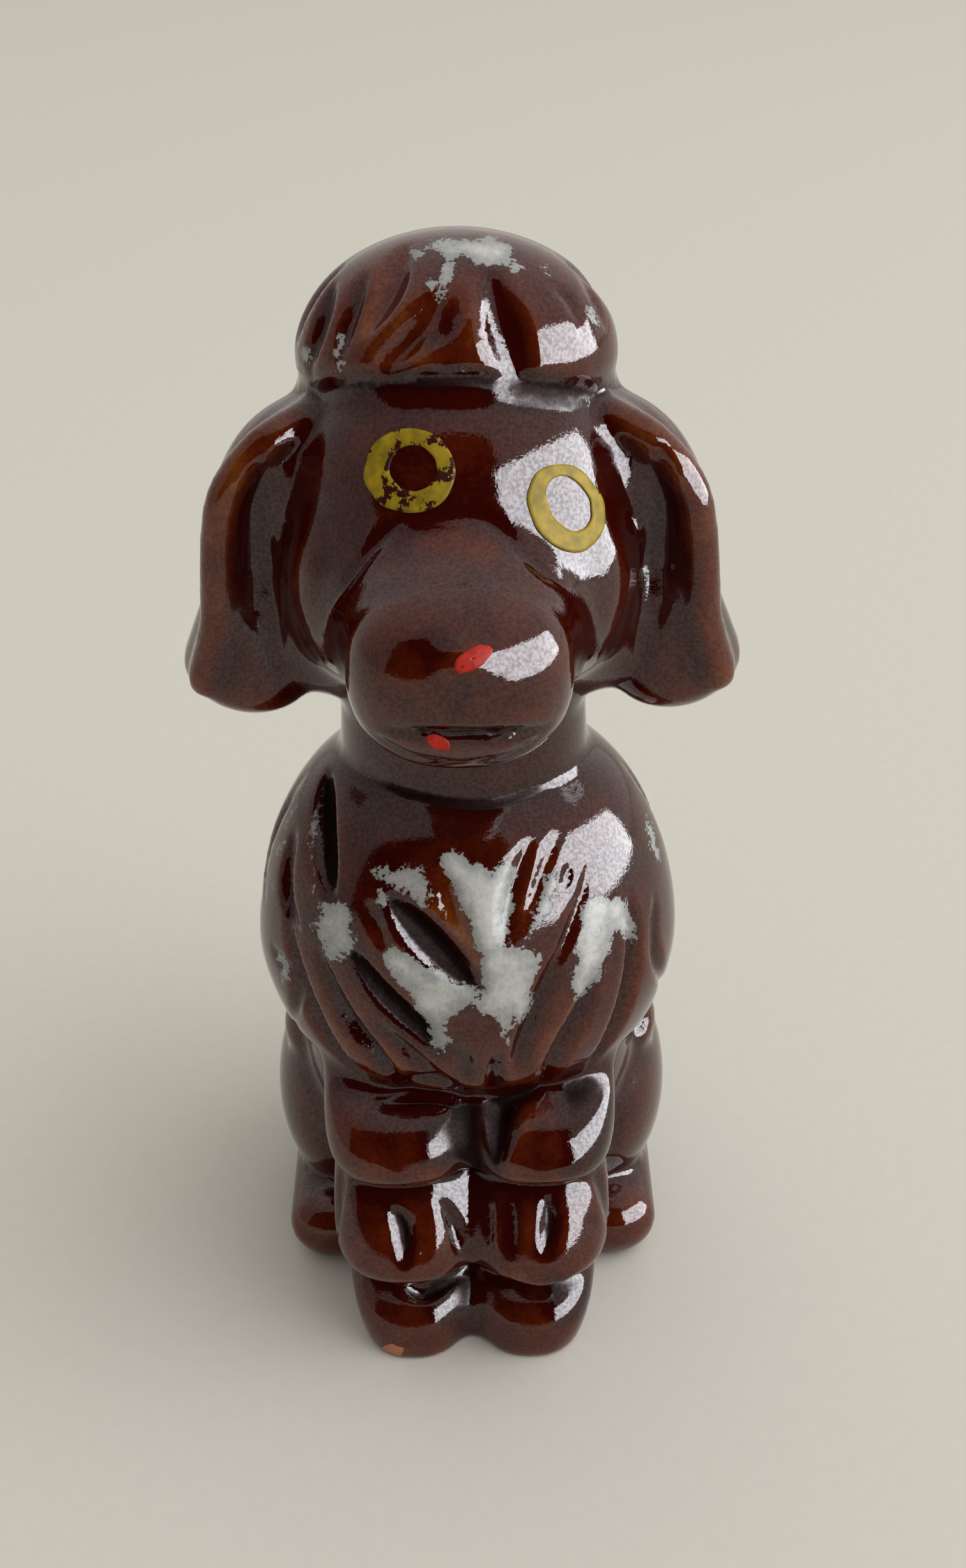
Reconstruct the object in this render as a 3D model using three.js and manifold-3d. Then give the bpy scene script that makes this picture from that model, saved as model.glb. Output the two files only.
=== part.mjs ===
// Seated poodle figurine in brown-glazed redware: a hollow cast body on which the head, topknot,
// ears, legs and tail are luted with slip, and on which eyes, nose and mouth are dabbed in paint.
// Millimetres, +Z up. The dog looks along -Y, so its left side is +X. The origin lies on the table,
// under the middle of the figure.
import * as THREE from "three";
import { LoftGeometry } from "three/addons/geometries/LoftGeometry.js";
import { mergeVertices } from "three/addons/utils/BufferGeometryUtils.js";
import Module from "manifold-3d";

// Seams and walls
const LUTING_GAP = 0.3; // slip seam between two castings
const PAINT_GAP = 0.15; // glaze between the clay and a dab of paint
const PAINT_THICKNESS = 0.3;
const BODY_WALL = 3.2; // the slip that stays in the mould
const BASE_WALL = 4;
const VENT = { y: 3, diameter: 10 }; // drain hole of the casting, in the base

// Body casting: stations from the seat up to the end of the neck, each a rise above the one before
const SEAT = { rise: 0, y: 5.5, halfWidth: 11, halfDepth: 12.6 };
const RUMP = { rise: 8, y: 5.2, halfWidth: 12.4, halfDepth: 13.4 };
const LOIN = { rise: 8, y: 4.1, halfWidth: 12.9, halfDepth: 12.4 };
const WAIST = { rise: 5.4, y: 3.5, halfWidth: 13.3, halfDepth: 12.4 };
const MANTLE = { rise: 3.4, y: 1.1, halfWidth: 14.4, halfDepth: 13.9 }; // hair that overhangs the elbows
const CHEST = { rise: 5.7, y: -0.2, halfWidth: 15.4, halfDepth: 13.4 };
const SHOULDER = { rise: 6.5, y: -0.2, halfWidth: 14.4, halfDepth: 12.9 };
const COLLAR = { rise: 5, y: 0.1, halfWidth: 12.1, halfDepth: 11.2 };
const NECK_ROOT = { rise: 3.4, y: 0.5, halfWidth: 9.8, halfDepth: 9.1 };
const NECK = { rise: 2.6, y: 0.5, halfWidth: 8.8, halfDepth: 8.5 };
const NAPE = { rise: 4, y: 0.4, halfWidth: 8.4, halfDepth: 8.2 };
const NAPE_DOME = 2.5;
const SEAT_DOME = 2; // falls below the table and is trimmed there

// Head, in a frame at the middle of the skull. Muzzle stations reach forward from one to the next
const SKULL_RISE = 11.3; // middle of the skull above the end of the neck
const SKULL_FORWARD = 1;
const SKULL = { halfWidth: 11.2, halfDepth: 11.2, halfHeight: 13 };
const MUZZLE_ROOT = { reach: 3.4, z: -3.7, halfWidth: 10.6, halfDepth: 7.2 };
const MUZZLE_STOP = { reach: 5, z: -3.7, halfWidth: 8.7, halfDepth: 6.7 };
const MUZZLE_BRIDGE = { reach: 4, z: -4, halfWidth: 7.1, halfDepth: 6.3 };
const MUZZLE_LIPS = { reach: 2.7, z: -4.5, halfWidth: 6.9, halfDepth: 6.1 };
const MUZZLE_DOME = 4.4;
const MUZZLE_SQUARENESS = 2.6; // 2 is an oval, more is squarer
const NOSE = { sunk: 3.4, aboveLips: 3.5, halfWidth: 3, halfDepth: 2.4, halfHeight: 2.2 };
const CHEEK = { sunk: 5.7, y: -3.8, z: -2.9, halfWidth: 5.7, halfDepth: 6.2, halfHeight: 7.4 };
const JAW = { sunk: 2.6, y: -0.1, z: -7.3, halfWidth: 4.4, halfDepth: 5, halfHeight: 5.5 };
const TEMPLE = { sunk: 3.8, y: 3.1, z: 7.5, halfWidth: 2.9, halfDepth: 5, halfHeight: 3.8 };

// Topknot, sunk in the crown, and ears, whose stations lie out from the side of the skull
const TOPKNOT = { sunk: 3.1, y: 1.9, halfWidth: 10.3, halfDepth: 9, halfHeight: 7.8, under: 5, tilt: 14 };
const EAR_ROOT = { out: -2.6, y: 1.1, z: 5.1, halfWidth: 4.6, halfDepth: 3.1 };
const EAR_SHOULDER = { out: 0.2, y: 1.1, z: 2.7, halfWidth: 4.7, halfDepth: 3.6 };
const EAR_SIDE = { out: 1.9, y: 1.1, z: -1.1, halfWidth: 4.6, halfDepth: 3.6 };
const EAR_WAIST = { out: 2.2, y: 0.8, z: -5.9, halfWidth: 4.9, halfDepth: 3.8 };
const EAR_FLARE = { out: 3.4, y: 0.5, z: -11.3, halfWidth: 5.2, halfDepth: 4.5 };
const EAR_ROOT_DOME = 2.2;
const EAR_TIP_DOME = 2.8;
const RIM = { halfWidth: 1.4, halfDepth: 1.3 }; // roll along the front edge of the ear
const RIM_ROOT = { out: -1.6, y: -1.7, z: 7 };
const RIM_SHOULDER = { out: 1.6, y: -3.2, z: 5.3 };
const RIM_SIDE = { out: 4.1, y: -3.5, z: -0.2 };
const RIM_WAIST = { out: 4.6, y: -3.5, z: -6 };
const RIM_END = { out: 5.7, y: -3.2, z: -10.3 };

// Forelegs, half the parting from the middle. Their profile steps in below the elbow and below the
// cuff of hair, which flare like bells. Front is how far a station stands forward
const LEG_PARTING = 0.4;
const LEG_BACK = 3;
const LEG_SQUARENESS = 2.7;
const SOLE = { z: -0.8, halfWidth: 4.55, front: 15.1 };
const PAW = { z: 2, halfWidth: 4.7, front: 15 };
const PAW_TOP = { z: 4.5, halfWidth: 4.7, front: 13.7 };
const ANKLE = { z: 6, halfWidth: 4.75, front: 11.7 };
const CUFF_HEM = { z: 8.9, halfWidth: 5.15, front: 15.5 };
const CUFF = { z: 12, halfWidth: 5.2, front: 14.2 };
const WRIST = { z: 15.6, halfWidth: 5, front: 11.5 };
const ELBOW_UNDER = { z: 16.6, halfWidth: 5.1, front: 13.9 };
const ELBOW = { z: 18.4, halfWidth: 5.25, front: 14.8 };
const ELBOW_TOP = { z: 20.9, halfWidth: 5.3, front: 13.2 };
const ELBOW_LEDGE = { z: 22.3, halfWidth: 5.3, front: 10.1 };
const UPPER_ARM = { z: 26, halfWidth: 5.4, front: 8.7 };

// Hind legs: a folded thigh over a long foot, sunk in the sides of the rump
const THIGH = { sunk: 1.8, y: 7, z: 10.5, halfWidth: 5.2, halfDepth: 9.5, halfHeight: 8.4 };
const HIP_CURL = { sunk: 0.2, y: 4.7, z: 17.4, halfWidth: 2.6, halfDepth: 3.4, halfHeight: 3.2 };
const HEEL = { sunk: 1.2, y: 6, halfWidth: 3.5, halfDepth: 3.3 };
const TOES = { sunk: 1.2, y: -2.4, halfWidth: 3.5, halfDepth: 3 };
const TOES_DOME = 2.8;
const SOLE_TRIM = 0.3; // the sole that the table flattens

// Tail: a docked stub with a pompon, set out from the back of the rump
const TAIL_ROOT = { out: -2.6, z: 8, halfWidth: 2.6, halfDepth: 2.6 };
const TAIL_END = { out: 2.2, z: 15, halfWidth: 2.3, halfDepth: 2.3 };
const TAIL_ROOT_DOME = 1.5;
const POMPON = { out: 2.9, z: 17.4, halfWidth: 4.7, halfDepth: 4.3, halfHeight: 5.2 };

// Hair, gouged with a modelling tool. Bearings are in degrees from the front, tops and bottoms in
// degrees above the equator of a ball
const CHEST_STROKE = { width: 2.8, depth: 1.1 };
const CHEST_LOCKS = { count: 11, middle: 0, spread: 190, gather: 0.45 };
const BACK_LOCKS = { count: 7, middle: 180, spread: 130, gather: 0.1 };
const LOCKS_ABOVE_SHOULDER = 2;
const LOCKS_BELOW_CHEST = 5;
const TOPKNOT_STROKE = { width: 2.5, depth: 1 };
const TOPKNOT_LOCKS = { count: 10, from: -150, to: 150, top: 50, bottom: 4, lean: 14 };
const CUFF_STROKE = { width: 2, depth: 0.8 };
const CUFF_LOCKS = { bearings: [-45, -15, 15, 50, 85], belowWrist: 1.4, aboveHem: 0.4 };
const POMPON_LOCKS = { count: 6, from: 60, to: 300, top: 55, bottom: -45, lean: 15 };
const EAR_STROKE = { width: 2.8, depth: 0.8 };
const EAR_FOLD = { start: 0.3, end: 0.96, around: -84 };
const MOUTH_STROKE = { width: 1, depth: 0.6 };
const MOUTH = { middle: 1.86, corner: 1.14, sweep: 80 };
const LIP_GROOVE_TOP = 1.72;
const STROKE_TIP = 0.1; // share of its width that a stroke keeps at its ends

// Paint, in the head's frame
const RIGHT_EYE = { x: -3, z: 6.4, halfWidth: 2.65, halfHeight: 2.3 };
const LEFT_EYE = { x: 6.8, z: 4, halfWidth: 2.1, halfHeight: 2.4 };
const EYE_BAND = 1.3; // breadth of the yellow ring
const NOSE_DAB = { x: 0.6, belowNose: 0.2, halfWidth: 1.3, halfHeight: 0.8 };
const MOUTH_DAB = { x: -1.3, belowLips: 2.5, halfWidth: 0.9, halfHeight: 0.6 };

// Fineness of the facets
const FINE = { sides: 24, rings: 12, domeRings: 3 };
const TRUNK = { sides: 24, rings: 20, domeRings: 2 };
const LEG = { sides: 18, rings: 22 };
const PLAIN = { sides: 18, rings: 8, domeRings: 3 };
const MIDDLING = { sides: 18, rings: 10, domeRings: 2 };
const COARSE = { sides: 12, rings: 7, domeRings: 2 };
const HOLLOW = { sides: 14, rings: 12, domeRings: 2 };
const THIN = { sides: 8, rings: 8, domeRings: 2 };
const TOOL = { sides: 4, rings: 4 };
const LONG_TOOL = { sides: 4, rings: 10 };
const DOME_CLOSES_AT = 86; // degrees of the quarter turn, the small rest is a flat

const REACH = 200; // larger than the figure
const X_AXIS = new THREE.Vector3(1, 0, 0);
const Y_AXIS = new THREE.Vector3(0, 1, 0);
const Z_AXIS = new THREE.Vector3(0, 0, 1);
const { degToRad } = THREE.MathUtils;

const wasm = await Module();
wasm.setup();

/** A closed geometry as a solid that can be joined and cut. */
function solid(geometry) {
  const bare = new THREE.BufferGeometry();
  bare.setAttribute("position", geometry.getAttribute("position"));
  bare.setIndex(geometry.index);
  const merged = mergeVertices(bare);
  return new wasm.Manifold(
    new wasm.Mesh({
      numProp: 3,
      vertProperties: merged.getAttribute("position").array,
      triVerts: new Uint32Array(merged.index.array),
    }),
  );
}

/** A solid as a geometry that can be shown. */
function geometryOf(body) {
  const { vertProperties, triVerts } = body.getMesh();
  const geometry = new THREE.BufferGeometry();
  geometry.setAttribute("position", new THREE.BufferAttribute(vertProperties, 3));
  geometry.setIndex(new THREE.BufferAttribute(triVerts, 1));
  geometry.computeVertexNormals();
  return geometry;
}

const joined = (bodies) => bodies.reduce((whole, body) => whole.add(body));
const cut = (body, tools) => tools.reduce((rest, tool) => rest.subtract(tool), body);

/** How far out a point of a squarish oval lies, against one of a true oval. */
const fuller = (angle, squareness) =>
  (Math.abs(Math.cos(angle)) ** squareness + Math.abs(Math.sin(angle)) ** squareness) ** (-1 / squareness);

/**
 * A form of oval sections strung on a smooth spine, with a dome or a flat at each end. The sections
 * lie square to the spine, or level where the spine runs up and only leans.
 */
class SpineForm {
  constructor(stations, options = {}) {
    const { across = X_AXIS, startDome = 0, endDome = 0, fineness = PLAIN } = options;
    const { level = false, squareness = 2 } = options;
    this.spine = new THREE.CatmullRomCurve3(
      stations.map(({ x = 0, y, z }) => new THREE.Vector3(x, y, z)),
    );
    this.halves = new THREE.SplineCurve(
      stations.map(({ halfWidth, halfDepth }) => new THREE.Vector2(halfWidth, halfDepth)),
    );
    Object.assign(this, { across, startDome, endDome, fineness, level, squareness });
  }

  /** Where a height lies on an upright form, as its run along the spine. */
  runAt(z) {
    const steps = 400;
    const runs = Array.from({ length: steps + 1 }, (_, i) => i / steps);
    return runs.find((run) => this.spine.getPoint(run).z >= z);
  }

  /**
   * A point of the skin. Along runs from 0 at the first station to 1 at the last, and over the domes
   * to -1 and 2. Around is in degrees: 0 is against the depth axis, 90 is along the width axis.
   */
  skin(along, around, grow = 0) {
    const t = THREE.MathUtils.clamp(along, 0, 1);
    const tangent = this.level ? Z_AXIS : this.spine.getTangent(t);
    const depthAxis = new THREE.Vector3().crossVectors(tangent, this.across).normalize();
    const widthAxis = new THREE.Vector3().crossVectors(depthAxis, tangent);
    const half = this.halves.getPoint(t);
    const turn = degToRad(90 * (along - t));
    const rise = this.rise(along < 0 ? this.startDome : this.endDome, grow);
    const angle = degToRad(around);
    const domed = fuller(turn, this.squareness);
    const size = Math.cos(turn) * domed * fuller(angle, this.squareness);
    return this.spine
      .getPoint(t)
      .addScaledVector(widthAxis, (half.x + grow) * size * Math.sin(angle))
      .addScaledVector(depthAxis, -(half.y + grow) * size * Math.cos(angle))
      .addScaledVector(tangent, rise * domed * Math.sin(turn));
  }

  /** The height of a dome after growing or shrinking. A flat stays flat. */
  rise(dome, grow) {
    return dome > 0 ? Math.max(dome + grow, 0) : 0;
  }

  solid(grow = 0) {
    const { sides, rings, domeRings } = this.fineness;
    const domeStep = DOME_CLOSES_AT / 90 / domeRings;
    const runs = Array.from({ length: rings + 1 }, (_, i) => i / rings);
    const domeRuns = Array.from({ length: domeRings }, (_, i) => (i + 1) * domeStep);
    if (this.rise(this.startDome, grow) > 0) runs.unshift(...domeRuns.map((run) => -run).reverse());
    if (this.rise(this.endDome, grow) > 0) runs.push(...domeRuns.map((run) => 1 + run));
    const sections = runs.map((along) =>
      Array.from({ length: sides }, (_, j) => this.skin(along, (360 * j) / sides, grow)),
    );
    return solid(new LoftGeometry(sections, { capStart: true, capEnd: true }));
  }
}

/** A form that is round in all directions, flatter under its equator if so wished, its front tilted up. */
class BallForm {
  constructor({ x = 0, y = 0, z = 0, ...form }, fineness = MIDDLING) {
    const { halfWidth, halfDepth, halfHeight, under = halfHeight, tilt = 0 } = form;
    this.middle = new THREE.Vector3(x, y, z);
    this.half = new THREE.Vector3(halfWidth, halfDepth, halfHeight);
    Object.assign(this, { under, tilt, fineness });
  }

  /** Puts a point of the unit ball on the skin. */
  placed(point, grow = 0) {
    const height = point.z < 0 ? this.under : this.half.z;
    return point
      .multiply(new THREE.Vector3(this.half.x + grow, this.half.y + grow, height + grow))
      .applyAxisAngle(X_AXIS, -degToRad(this.tilt))
      .add(this.middle);
  }

  /** A point of the skin, by degrees above the equator and degrees around from the front. */
  skin(above, around) {
    const ring = Math.cos(degToRad(above));
    const [across, front] = [ring * Math.sin(degToRad(around)), -ring * Math.cos(degToRad(around))];
    return this.placed(new THREE.Vector3(across, front, Math.sin(degToRad(above))));
  }

  solid(grow = 0) {
    const { sides, rings } = this.fineness;
    const ball = new THREE.SphereGeometry(1, sides, rings).rotateX(Math.PI / 2);
    const places = ball.getAttribute("position");
    for (let i = 0; i < places.count; i++) {
      places.setXYZ(i, ...this.placed(new THREE.Vector3().fromBufferAttribute(places, i), grow));
    }
    return solid(ball);
  }
}

/** The mark of one tool stroke: a spindle laid on the skin through some points. */
function stroke(points, middle, { width, depth }, fineness = TOOL) {
  const centre = points[Math.floor(points.length / 2)];
  const outward = centre.clone().sub(middle);
  const run = points.at(-1).clone().sub(points[0]);
  const across = new THREE.Vector3().crossVectors(outward, run).normalize();
  const stations = points.map(({ x, y, z }, i) => {
    const fullness = STROKE_TIP + (1 - STROKE_TIP) * Math.sin((Math.PI * i) / (points.length - 1));
    return { x, y, z, halfWidth: (fullness * width) / 2, halfDepth: fullness * depth };
  });
  return new SpineForm(stations, { across, fineness }).solid();
}

/** Points at equal steps of a path that is given as a function of 0 to 1. */
const stepped = (path, steps = 4) => Array.from({ length: steps + 1 }, (_, i) => path(i / steps));

/** Upright strokes on a ball, evenly spread from one bearing to another. */
function lockStrokes(ball, { count, from, to, top, bottom, lean }, tool) {
  return Array.from({ length: count }, (_, i) => {
    const bearing = from + ((to - from) * i) / (count - 1);
    const path = (run) => ball.skin(top + (bottom - top) * run, bearing + lean * (run - 0.5));
    return stroke(stepped(path), ball.middle, tool);
  });
}

const glaze = (colour, roughness = 0.12) =>
  new THREE.MeshStandardMaterial({ color: colour, roughness, metalness: 0 });

function piece(name, body, material) {
  const mesh = new THREE.Mesh(geometryOf(body), material);
  mesh.name = name;
  return mesh;
}

const table = solid(new THREE.BoxGeometry(REACH, REACH, REACH).translate(0, 0, -REACH / 2));

// Body casting
const bodyStations = [SEAT, RUMP, LOIN, WAIST, MANTLE, CHEST, SHOULDER, COLLAR, NECK_ROOT, NECK, NAPE];
const trunkStations = bodyStations.map((station, i, all) => ({
  ...station,
  z: all.slice(0, i + 1).reduce((height, { rise }) => height + rise, 0),
}));
const [, rump, , , , chest, shoulder, , neckRoot, , nape] = trunkStations;
const trunkEnds = { startDome: SEAT_DOME, endDome: NAPE_DOME, level: true };
const trunk = new SpineForm(trunkStations, { ...trunkEnds, fineness: TRUNK });
const trunkSeat = trunk.solid(LUTING_GAP);

/** Locks of hair: those on the chest run together at its foot, those on the back hang straight. */
function trunkLocks({ count, middle, spread, gather }) {
  const top = trunk.runAt(shoulder.z + LOCKS_ABOVE_SHOULDER);
  const foot = trunk.runAt(chest.z - LOCKS_BELOW_CHEST);
  const axis = trunk.spine.getPoint((top + foot) / 2);
  return Array.from({ length: count }, (_, i) => {
    const bearing = spread * (i / (count - 1) - 0.5);
    const path = (run) =>
      trunk.skin(top + (foot - top) * run, middle + bearing * (1 - gather * run * run));
    return stroke(stepped(path), axis, CHEST_STROKE);
  });
}

/** The hollow that the slip leaves, and the hole that it drains through. */
function hollow() {
  const cavity = new SpineForm(trunkStations, { ...trunkEnds, fineness: HOLLOW }).solid(-BODY_WALL);
  const room = new THREE.BoxGeometry(REACH, REACH, neckRoot.z - BASE_WALL);
  room.translate(0, 0, (neckRoot.z + BASE_WALL) / 2);
  const vent = new THREE.CylinderGeometry(VENT.diameter / 2, VENT.diameter / 2, 3 * BASE_WALL, 24);
  vent.rotateX(Math.PI / 2).translate(0, VENT.y, 0);
  return cavity.intersect(solid(room)).add(solid(vent));
}

const torso = cut(trunk.solid(), [
  ...trunkLocks(CHEST_LOCKS),
  ...trunkLocks(BACK_LOCKS),
  hollow(),
  table,
]);

// Legs, the left ones
const onLeg = (form) => ({
  ...form,
  x: LEG_PARTING / 2 + form.halfWidth,
  y: -(form.front + LEG_BACK) / 2,
  halfDepth: (form.front - LEG_BACK) / 2,
});
const onRump = (form) => ({ ...form, x: rump.halfWidth - form.sunk });
const onSole = (form) => ({ ...onRump(form), z: form.halfDepth - SOLE_TRIM });

const legStations = [SOLE, PAW, PAW_TOP, ANKLE, CUFF_HEM, CUFF, WRIST, ELBOW_UNDER, ELBOW, ELBOW_TOP];
const forelegForm = new SpineForm([...legStations, ELBOW_LEDGE, UPPER_ARM].map(onLeg), {
  level: true,
  squareness: LEG_SQUARENESS,
  fineness: LEG,
});

function foreleg() {
  const top = forelegForm.runAt(WRIST.z - CUFF_LOCKS.belowWrist);
  const hem = forelegForm.runAt(CUFF_HEM.z + CUFF_LOCKS.aboveHem);
  const locks = CUFF_LOCKS.bearings.map((bearing) => {
    const path = (run) => forelegForm.skin(top + (hem - top) * run, bearing);
    return stroke(stepped(path), forelegForm.spine.getPoint((top + hem) / 2), CUFF_STROKE);
  });
  return cut(forelegForm.solid(), [...locks, trunkSeat, table]);
}

function hindLeg() {
  const foot = new SpineForm([HEEL, TOES].map(onSole), {
    startDome: HEEL.halfDepth,
    endDome: TOES_DOME,
  });
  const thigh = new BallForm(onRump(THIGH));
  const hipCurl = new BallForm(onRump(HIP_CURL), COARSE);
  const blank = joined([thigh, hipCurl, foot].map((form) => form.solid()));
  return cut(blank, [trunkSeat, forelegForm.solid(LUTING_GAP), table]);
}

function tail() {
  const behind = (form) => ({ ...form, y: rump.y + rump.halfDepth + form.out });
  const stub = new SpineForm([TAIL_ROOT, TAIL_END].map(behind), {
    startDome: TAIL_ROOT_DOME,
    fineness: COARSE,
  });
  const pompon = new BallForm(behind(POMPON), COARSE);
  const locks = lockStrokes(pompon, POMPON_LOCKS, CUFF_STROKE);
  return cut(stub.solid().add(pompon.solid()), [...locks, trunkSeat]);
}

// Head, in its own frame
const headPlace = new THREE.Vector3(0, nape.y - SKULL_FORWARD, nape.z + SKULL_RISE);
const skull = new BallForm(SKULL, FINE);
const muzzleParts = [MUZZLE_ROOT, MUZZLE_STOP, MUZZLE_BRIDGE, MUZZLE_LIPS];
const muzzleStations = muzzleParts.map((station, i, all) => ({
  ...station,
  y: -all.slice(0, i + 1).reduce((length, { reach }) => length + reach, 0),
}));
const lips = muzzleStations.at(-1);
const muzzle = new SpineForm(muzzleStations, { endDome: MUZZLE_DOME, squareness: MUZZLE_SQUARENESS });
const nosePlace = { y: lips.y - MUZZLE_DOME + NOSE.sunk, z: lips.z + NOSE.aboveLips };
const nose = new BallForm({ ...NOSE, ...nosePlace }, COARSE);
const onSkull = (form, side) => ({ ...form, x: side * (SKULL.halfWidth - form.sunk) });
const sideForms = [CHEEK, JAW, TEMPLE].flatMap((form) =>
  [1, -1].map((side) => new BallForm(onSkull(form, side), COARSE)),
);
const headForms = [skull, muzzle, nose, ...sideForms];
const headBlank = (grow = 0) => joined(headForms.map((form) => form.solid(grow)));
const headSeat = headBlank(LUTING_GAP);
const neckSeat = trunkSeat.translate(-headPlace.x, -headPlace.y, -headPlace.z);

/** The mouth: a line from cheek to cheek, and the groove from it up to the nose. */
function mouthStrokes() {
  const middle = muzzle.spine.getPoint(1);
  const line = (run) => {
    const side = 2 * run - 1;
    return muzzle.skin(MOUTH.middle - (MOUTH.middle - MOUTH.corner) * side * side, MOUTH.sweep * side);
  };
  const groove = [muzzle.skin(LIP_GROOVE_TOP, 180), muzzle.skin(2, 0), muzzle.skin(MOUTH.middle, 0)];
  return [stroke(stepped(line, 10), middle, MOUTH_STROKE, LONG_TOOL), stroke(groove, middle, MOUTH_STROKE)];
}

const head = cut(headBlank(), [...mouthStrokes(), neckSeat]);

const topknotBall = new BallForm({ ...TOPKNOT, z: SKULL.halfHeight - TOPKNOT.sunk }, FINE);

function topknot() {
  return cut(topknotBall.solid(), [
    ...lockStrokes(topknotBall, TOPKNOT_LOCKS, TOPKNOT_STROKE),
    headSeat,
  ]);
}

/** The left ear: a thick flap hung from the side of the skull, with a rim and a hollow on its front. */
function ear() {
  const hung = (station) => ({ ...station, x: SKULL.halfWidth + station.out });
  const flap = new SpineForm([EAR_ROOT, EAR_SHOULDER, EAR_SIDE, EAR_WAIST, EAR_FLARE].map(hung), {
    across: Y_AXIS,
    startDome: EAR_ROOT_DOME,
    endDome: EAR_TIP_DOME,
  });
  const rimStations = [RIM_ROOT, RIM_SHOULDER, RIM_SIDE, RIM_WAIST, RIM_END];
  const rim = new SpineForm(
    rimStations.map((station) => hung({ ...station, ...RIM })),
    { across: Y_AXIS, startDome: RIM.halfWidth, endDome: RIM.halfWidth, fineness: THIN },
  );
  const path = (run) => flap.skin(EAR_FOLD.start + (EAR_FOLD.end - EAR_FOLD.start) * run, EAR_FOLD.around);
  const fold = stroke(stepped(path), flap.spine.getPoint(0.5), EAR_STROKE);
  return cut(flap.solid().add(rim.solid()), [fold, headSeat, topknotBall.solid(LUTING_GAP), neckSeat]);
}

// Paint
const paintFilm = headBlank(PAINT_GAP + PAINT_THICKNESS).subtract(headBlank(PAINT_GAP));

/** A film of paint on the front of the head, with a given outline. */
function dab(shape, x, z) {
  const punch = new THREE.ExtrudeGeometry(shape, { depth: REACH, bevelEnabled: false, curveSegments: 12 });
  punch.rotateX(Math.PI / 2).translate(x, 0, z);
  return paintFilm.intersect(solid(punch));
}

const oval = ({ halfWidth, halfHeight }, inset = 0) =>
  new THREE.Shape().absellipse(0, 0, halfWidth - inset, halfHeight - inset);

function eyeRing(eye) {
  const ring = oval(eye);
  ring.holes.push(oval(eye, EYE_BAND));
  return dab(ring, eye.x, eye.z);
}

// Assembly
const redware = glaze(0x4a1408);
const yellowPaint = glaze(0xc8a010, 0.35);
const redPaint = glaze(0xc81c10, 0.35);

const leftLegs = new THREE.Group();
leftLegs.add(piece("left_foreleg", foreleg(), redware), piece("left_hind_leg", hindLeg(), redware));
const rightLegs = new THREE.Group();
rightLegs.scale.x = -1;
rightLegs.add(piece("right_foreleg", foreleg(), redware), piece("right_hind_leg", hindLeg(), redware));

const leftEar = piece("left_ear", ear(), redware);
const rightEar = piece("right_ear", ear(), redware);
rightEar.scale.x = -1;

const headGroup = new THREE.Group();
headGroup.position.copy(headPlace);
headGroup.add(
  piece("head", head, redware),
  piece("topknot", topknot(), redware),
  leftEar,
  rightEar,
  piece("right_eye_ring", eyeRing(RIGHT_EYE), yellowPaint),
  piece("left_eye_ring", eyeRing(LEFT_EYE), yellowPaint),
  piece("nose_dab", dab(oval(NOSE_DAB), NOSE_DAB.x, nosePlace.z - NOSE_DAB.belowNose), redPaint),
  piece("mouth_dab", dab(oval(MOUTH_DAB), MOUTH_DAB.x, lips.z - MOUTH_DAB.belowLips), redPaint),
);

const dog = new THREE.Group();
dog.add(piece("torso", torso, redware), piece("tail", tail(), redware), leftLegs, rightLegs, headGroup);

const extent = new THREE.Box3().setFromObject(dog);
dog.position.y = -(extent.min.y + extent.max.y) / 2;

const figurine = new THREE.Group();
figurine.add(dog);

export default figurine;
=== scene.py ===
# %% [markdown]
# A small seated poodle of red clay stands on a pale sheet. It was cast and luted together, dipped in
# a glossy brown glaze, and then painted by hand: yellow rings for eyes, red on nose and mouth, and
# white on the hair, most of which has worn away. The packed figurine gives the frame: its pieces
# say where everything is, and this lesson gives them their glazed skin.

# %% Load the packed figurine
import math

import bmesh
import bpy
import numpy as np
from mathutils import Matrix, Vector, noise


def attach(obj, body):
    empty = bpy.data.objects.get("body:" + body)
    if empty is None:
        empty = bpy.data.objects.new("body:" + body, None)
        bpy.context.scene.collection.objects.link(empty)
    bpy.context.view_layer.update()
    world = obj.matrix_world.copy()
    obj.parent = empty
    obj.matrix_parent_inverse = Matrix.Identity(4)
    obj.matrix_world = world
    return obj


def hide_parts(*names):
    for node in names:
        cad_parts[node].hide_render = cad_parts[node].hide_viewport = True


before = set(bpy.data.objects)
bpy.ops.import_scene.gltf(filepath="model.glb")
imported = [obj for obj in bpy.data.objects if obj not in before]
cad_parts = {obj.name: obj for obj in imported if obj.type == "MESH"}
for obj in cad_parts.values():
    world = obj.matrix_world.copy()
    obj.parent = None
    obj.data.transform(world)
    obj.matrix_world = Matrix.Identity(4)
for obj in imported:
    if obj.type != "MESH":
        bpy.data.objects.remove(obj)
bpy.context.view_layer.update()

MM = 0.001
print("pieces in the frame:", ", ".join(sorted(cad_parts)))

# %% [markdown]
# The camera comes first, because the marks of the modelling tool and the brush are placed by where
# they show in the photograph. It stands close, a little above the dog, and looks down at it. A pixel
# of the photograph is then a line of sight, and the mark lies where that line meets the clay.

# %% Camera and lines of sight
PHOTO_SIZE = (1512, 2454)
FOCAL_PIXELS = 3029
AIM = Vector((1.3, -2.5, 42)) * MM
DISTANCE = 138 * MM
LOOKS_DOWN = math.radians(31)
ROLL = math.radians(0.8)
SENSOR = 36


def add_object(name, data):
    """Puts a new object into the scene."""
    thing = bpy.data.objects.new(name, data)
    bpy.context.scene.collection.objects.link(thing)
    return thing


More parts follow.
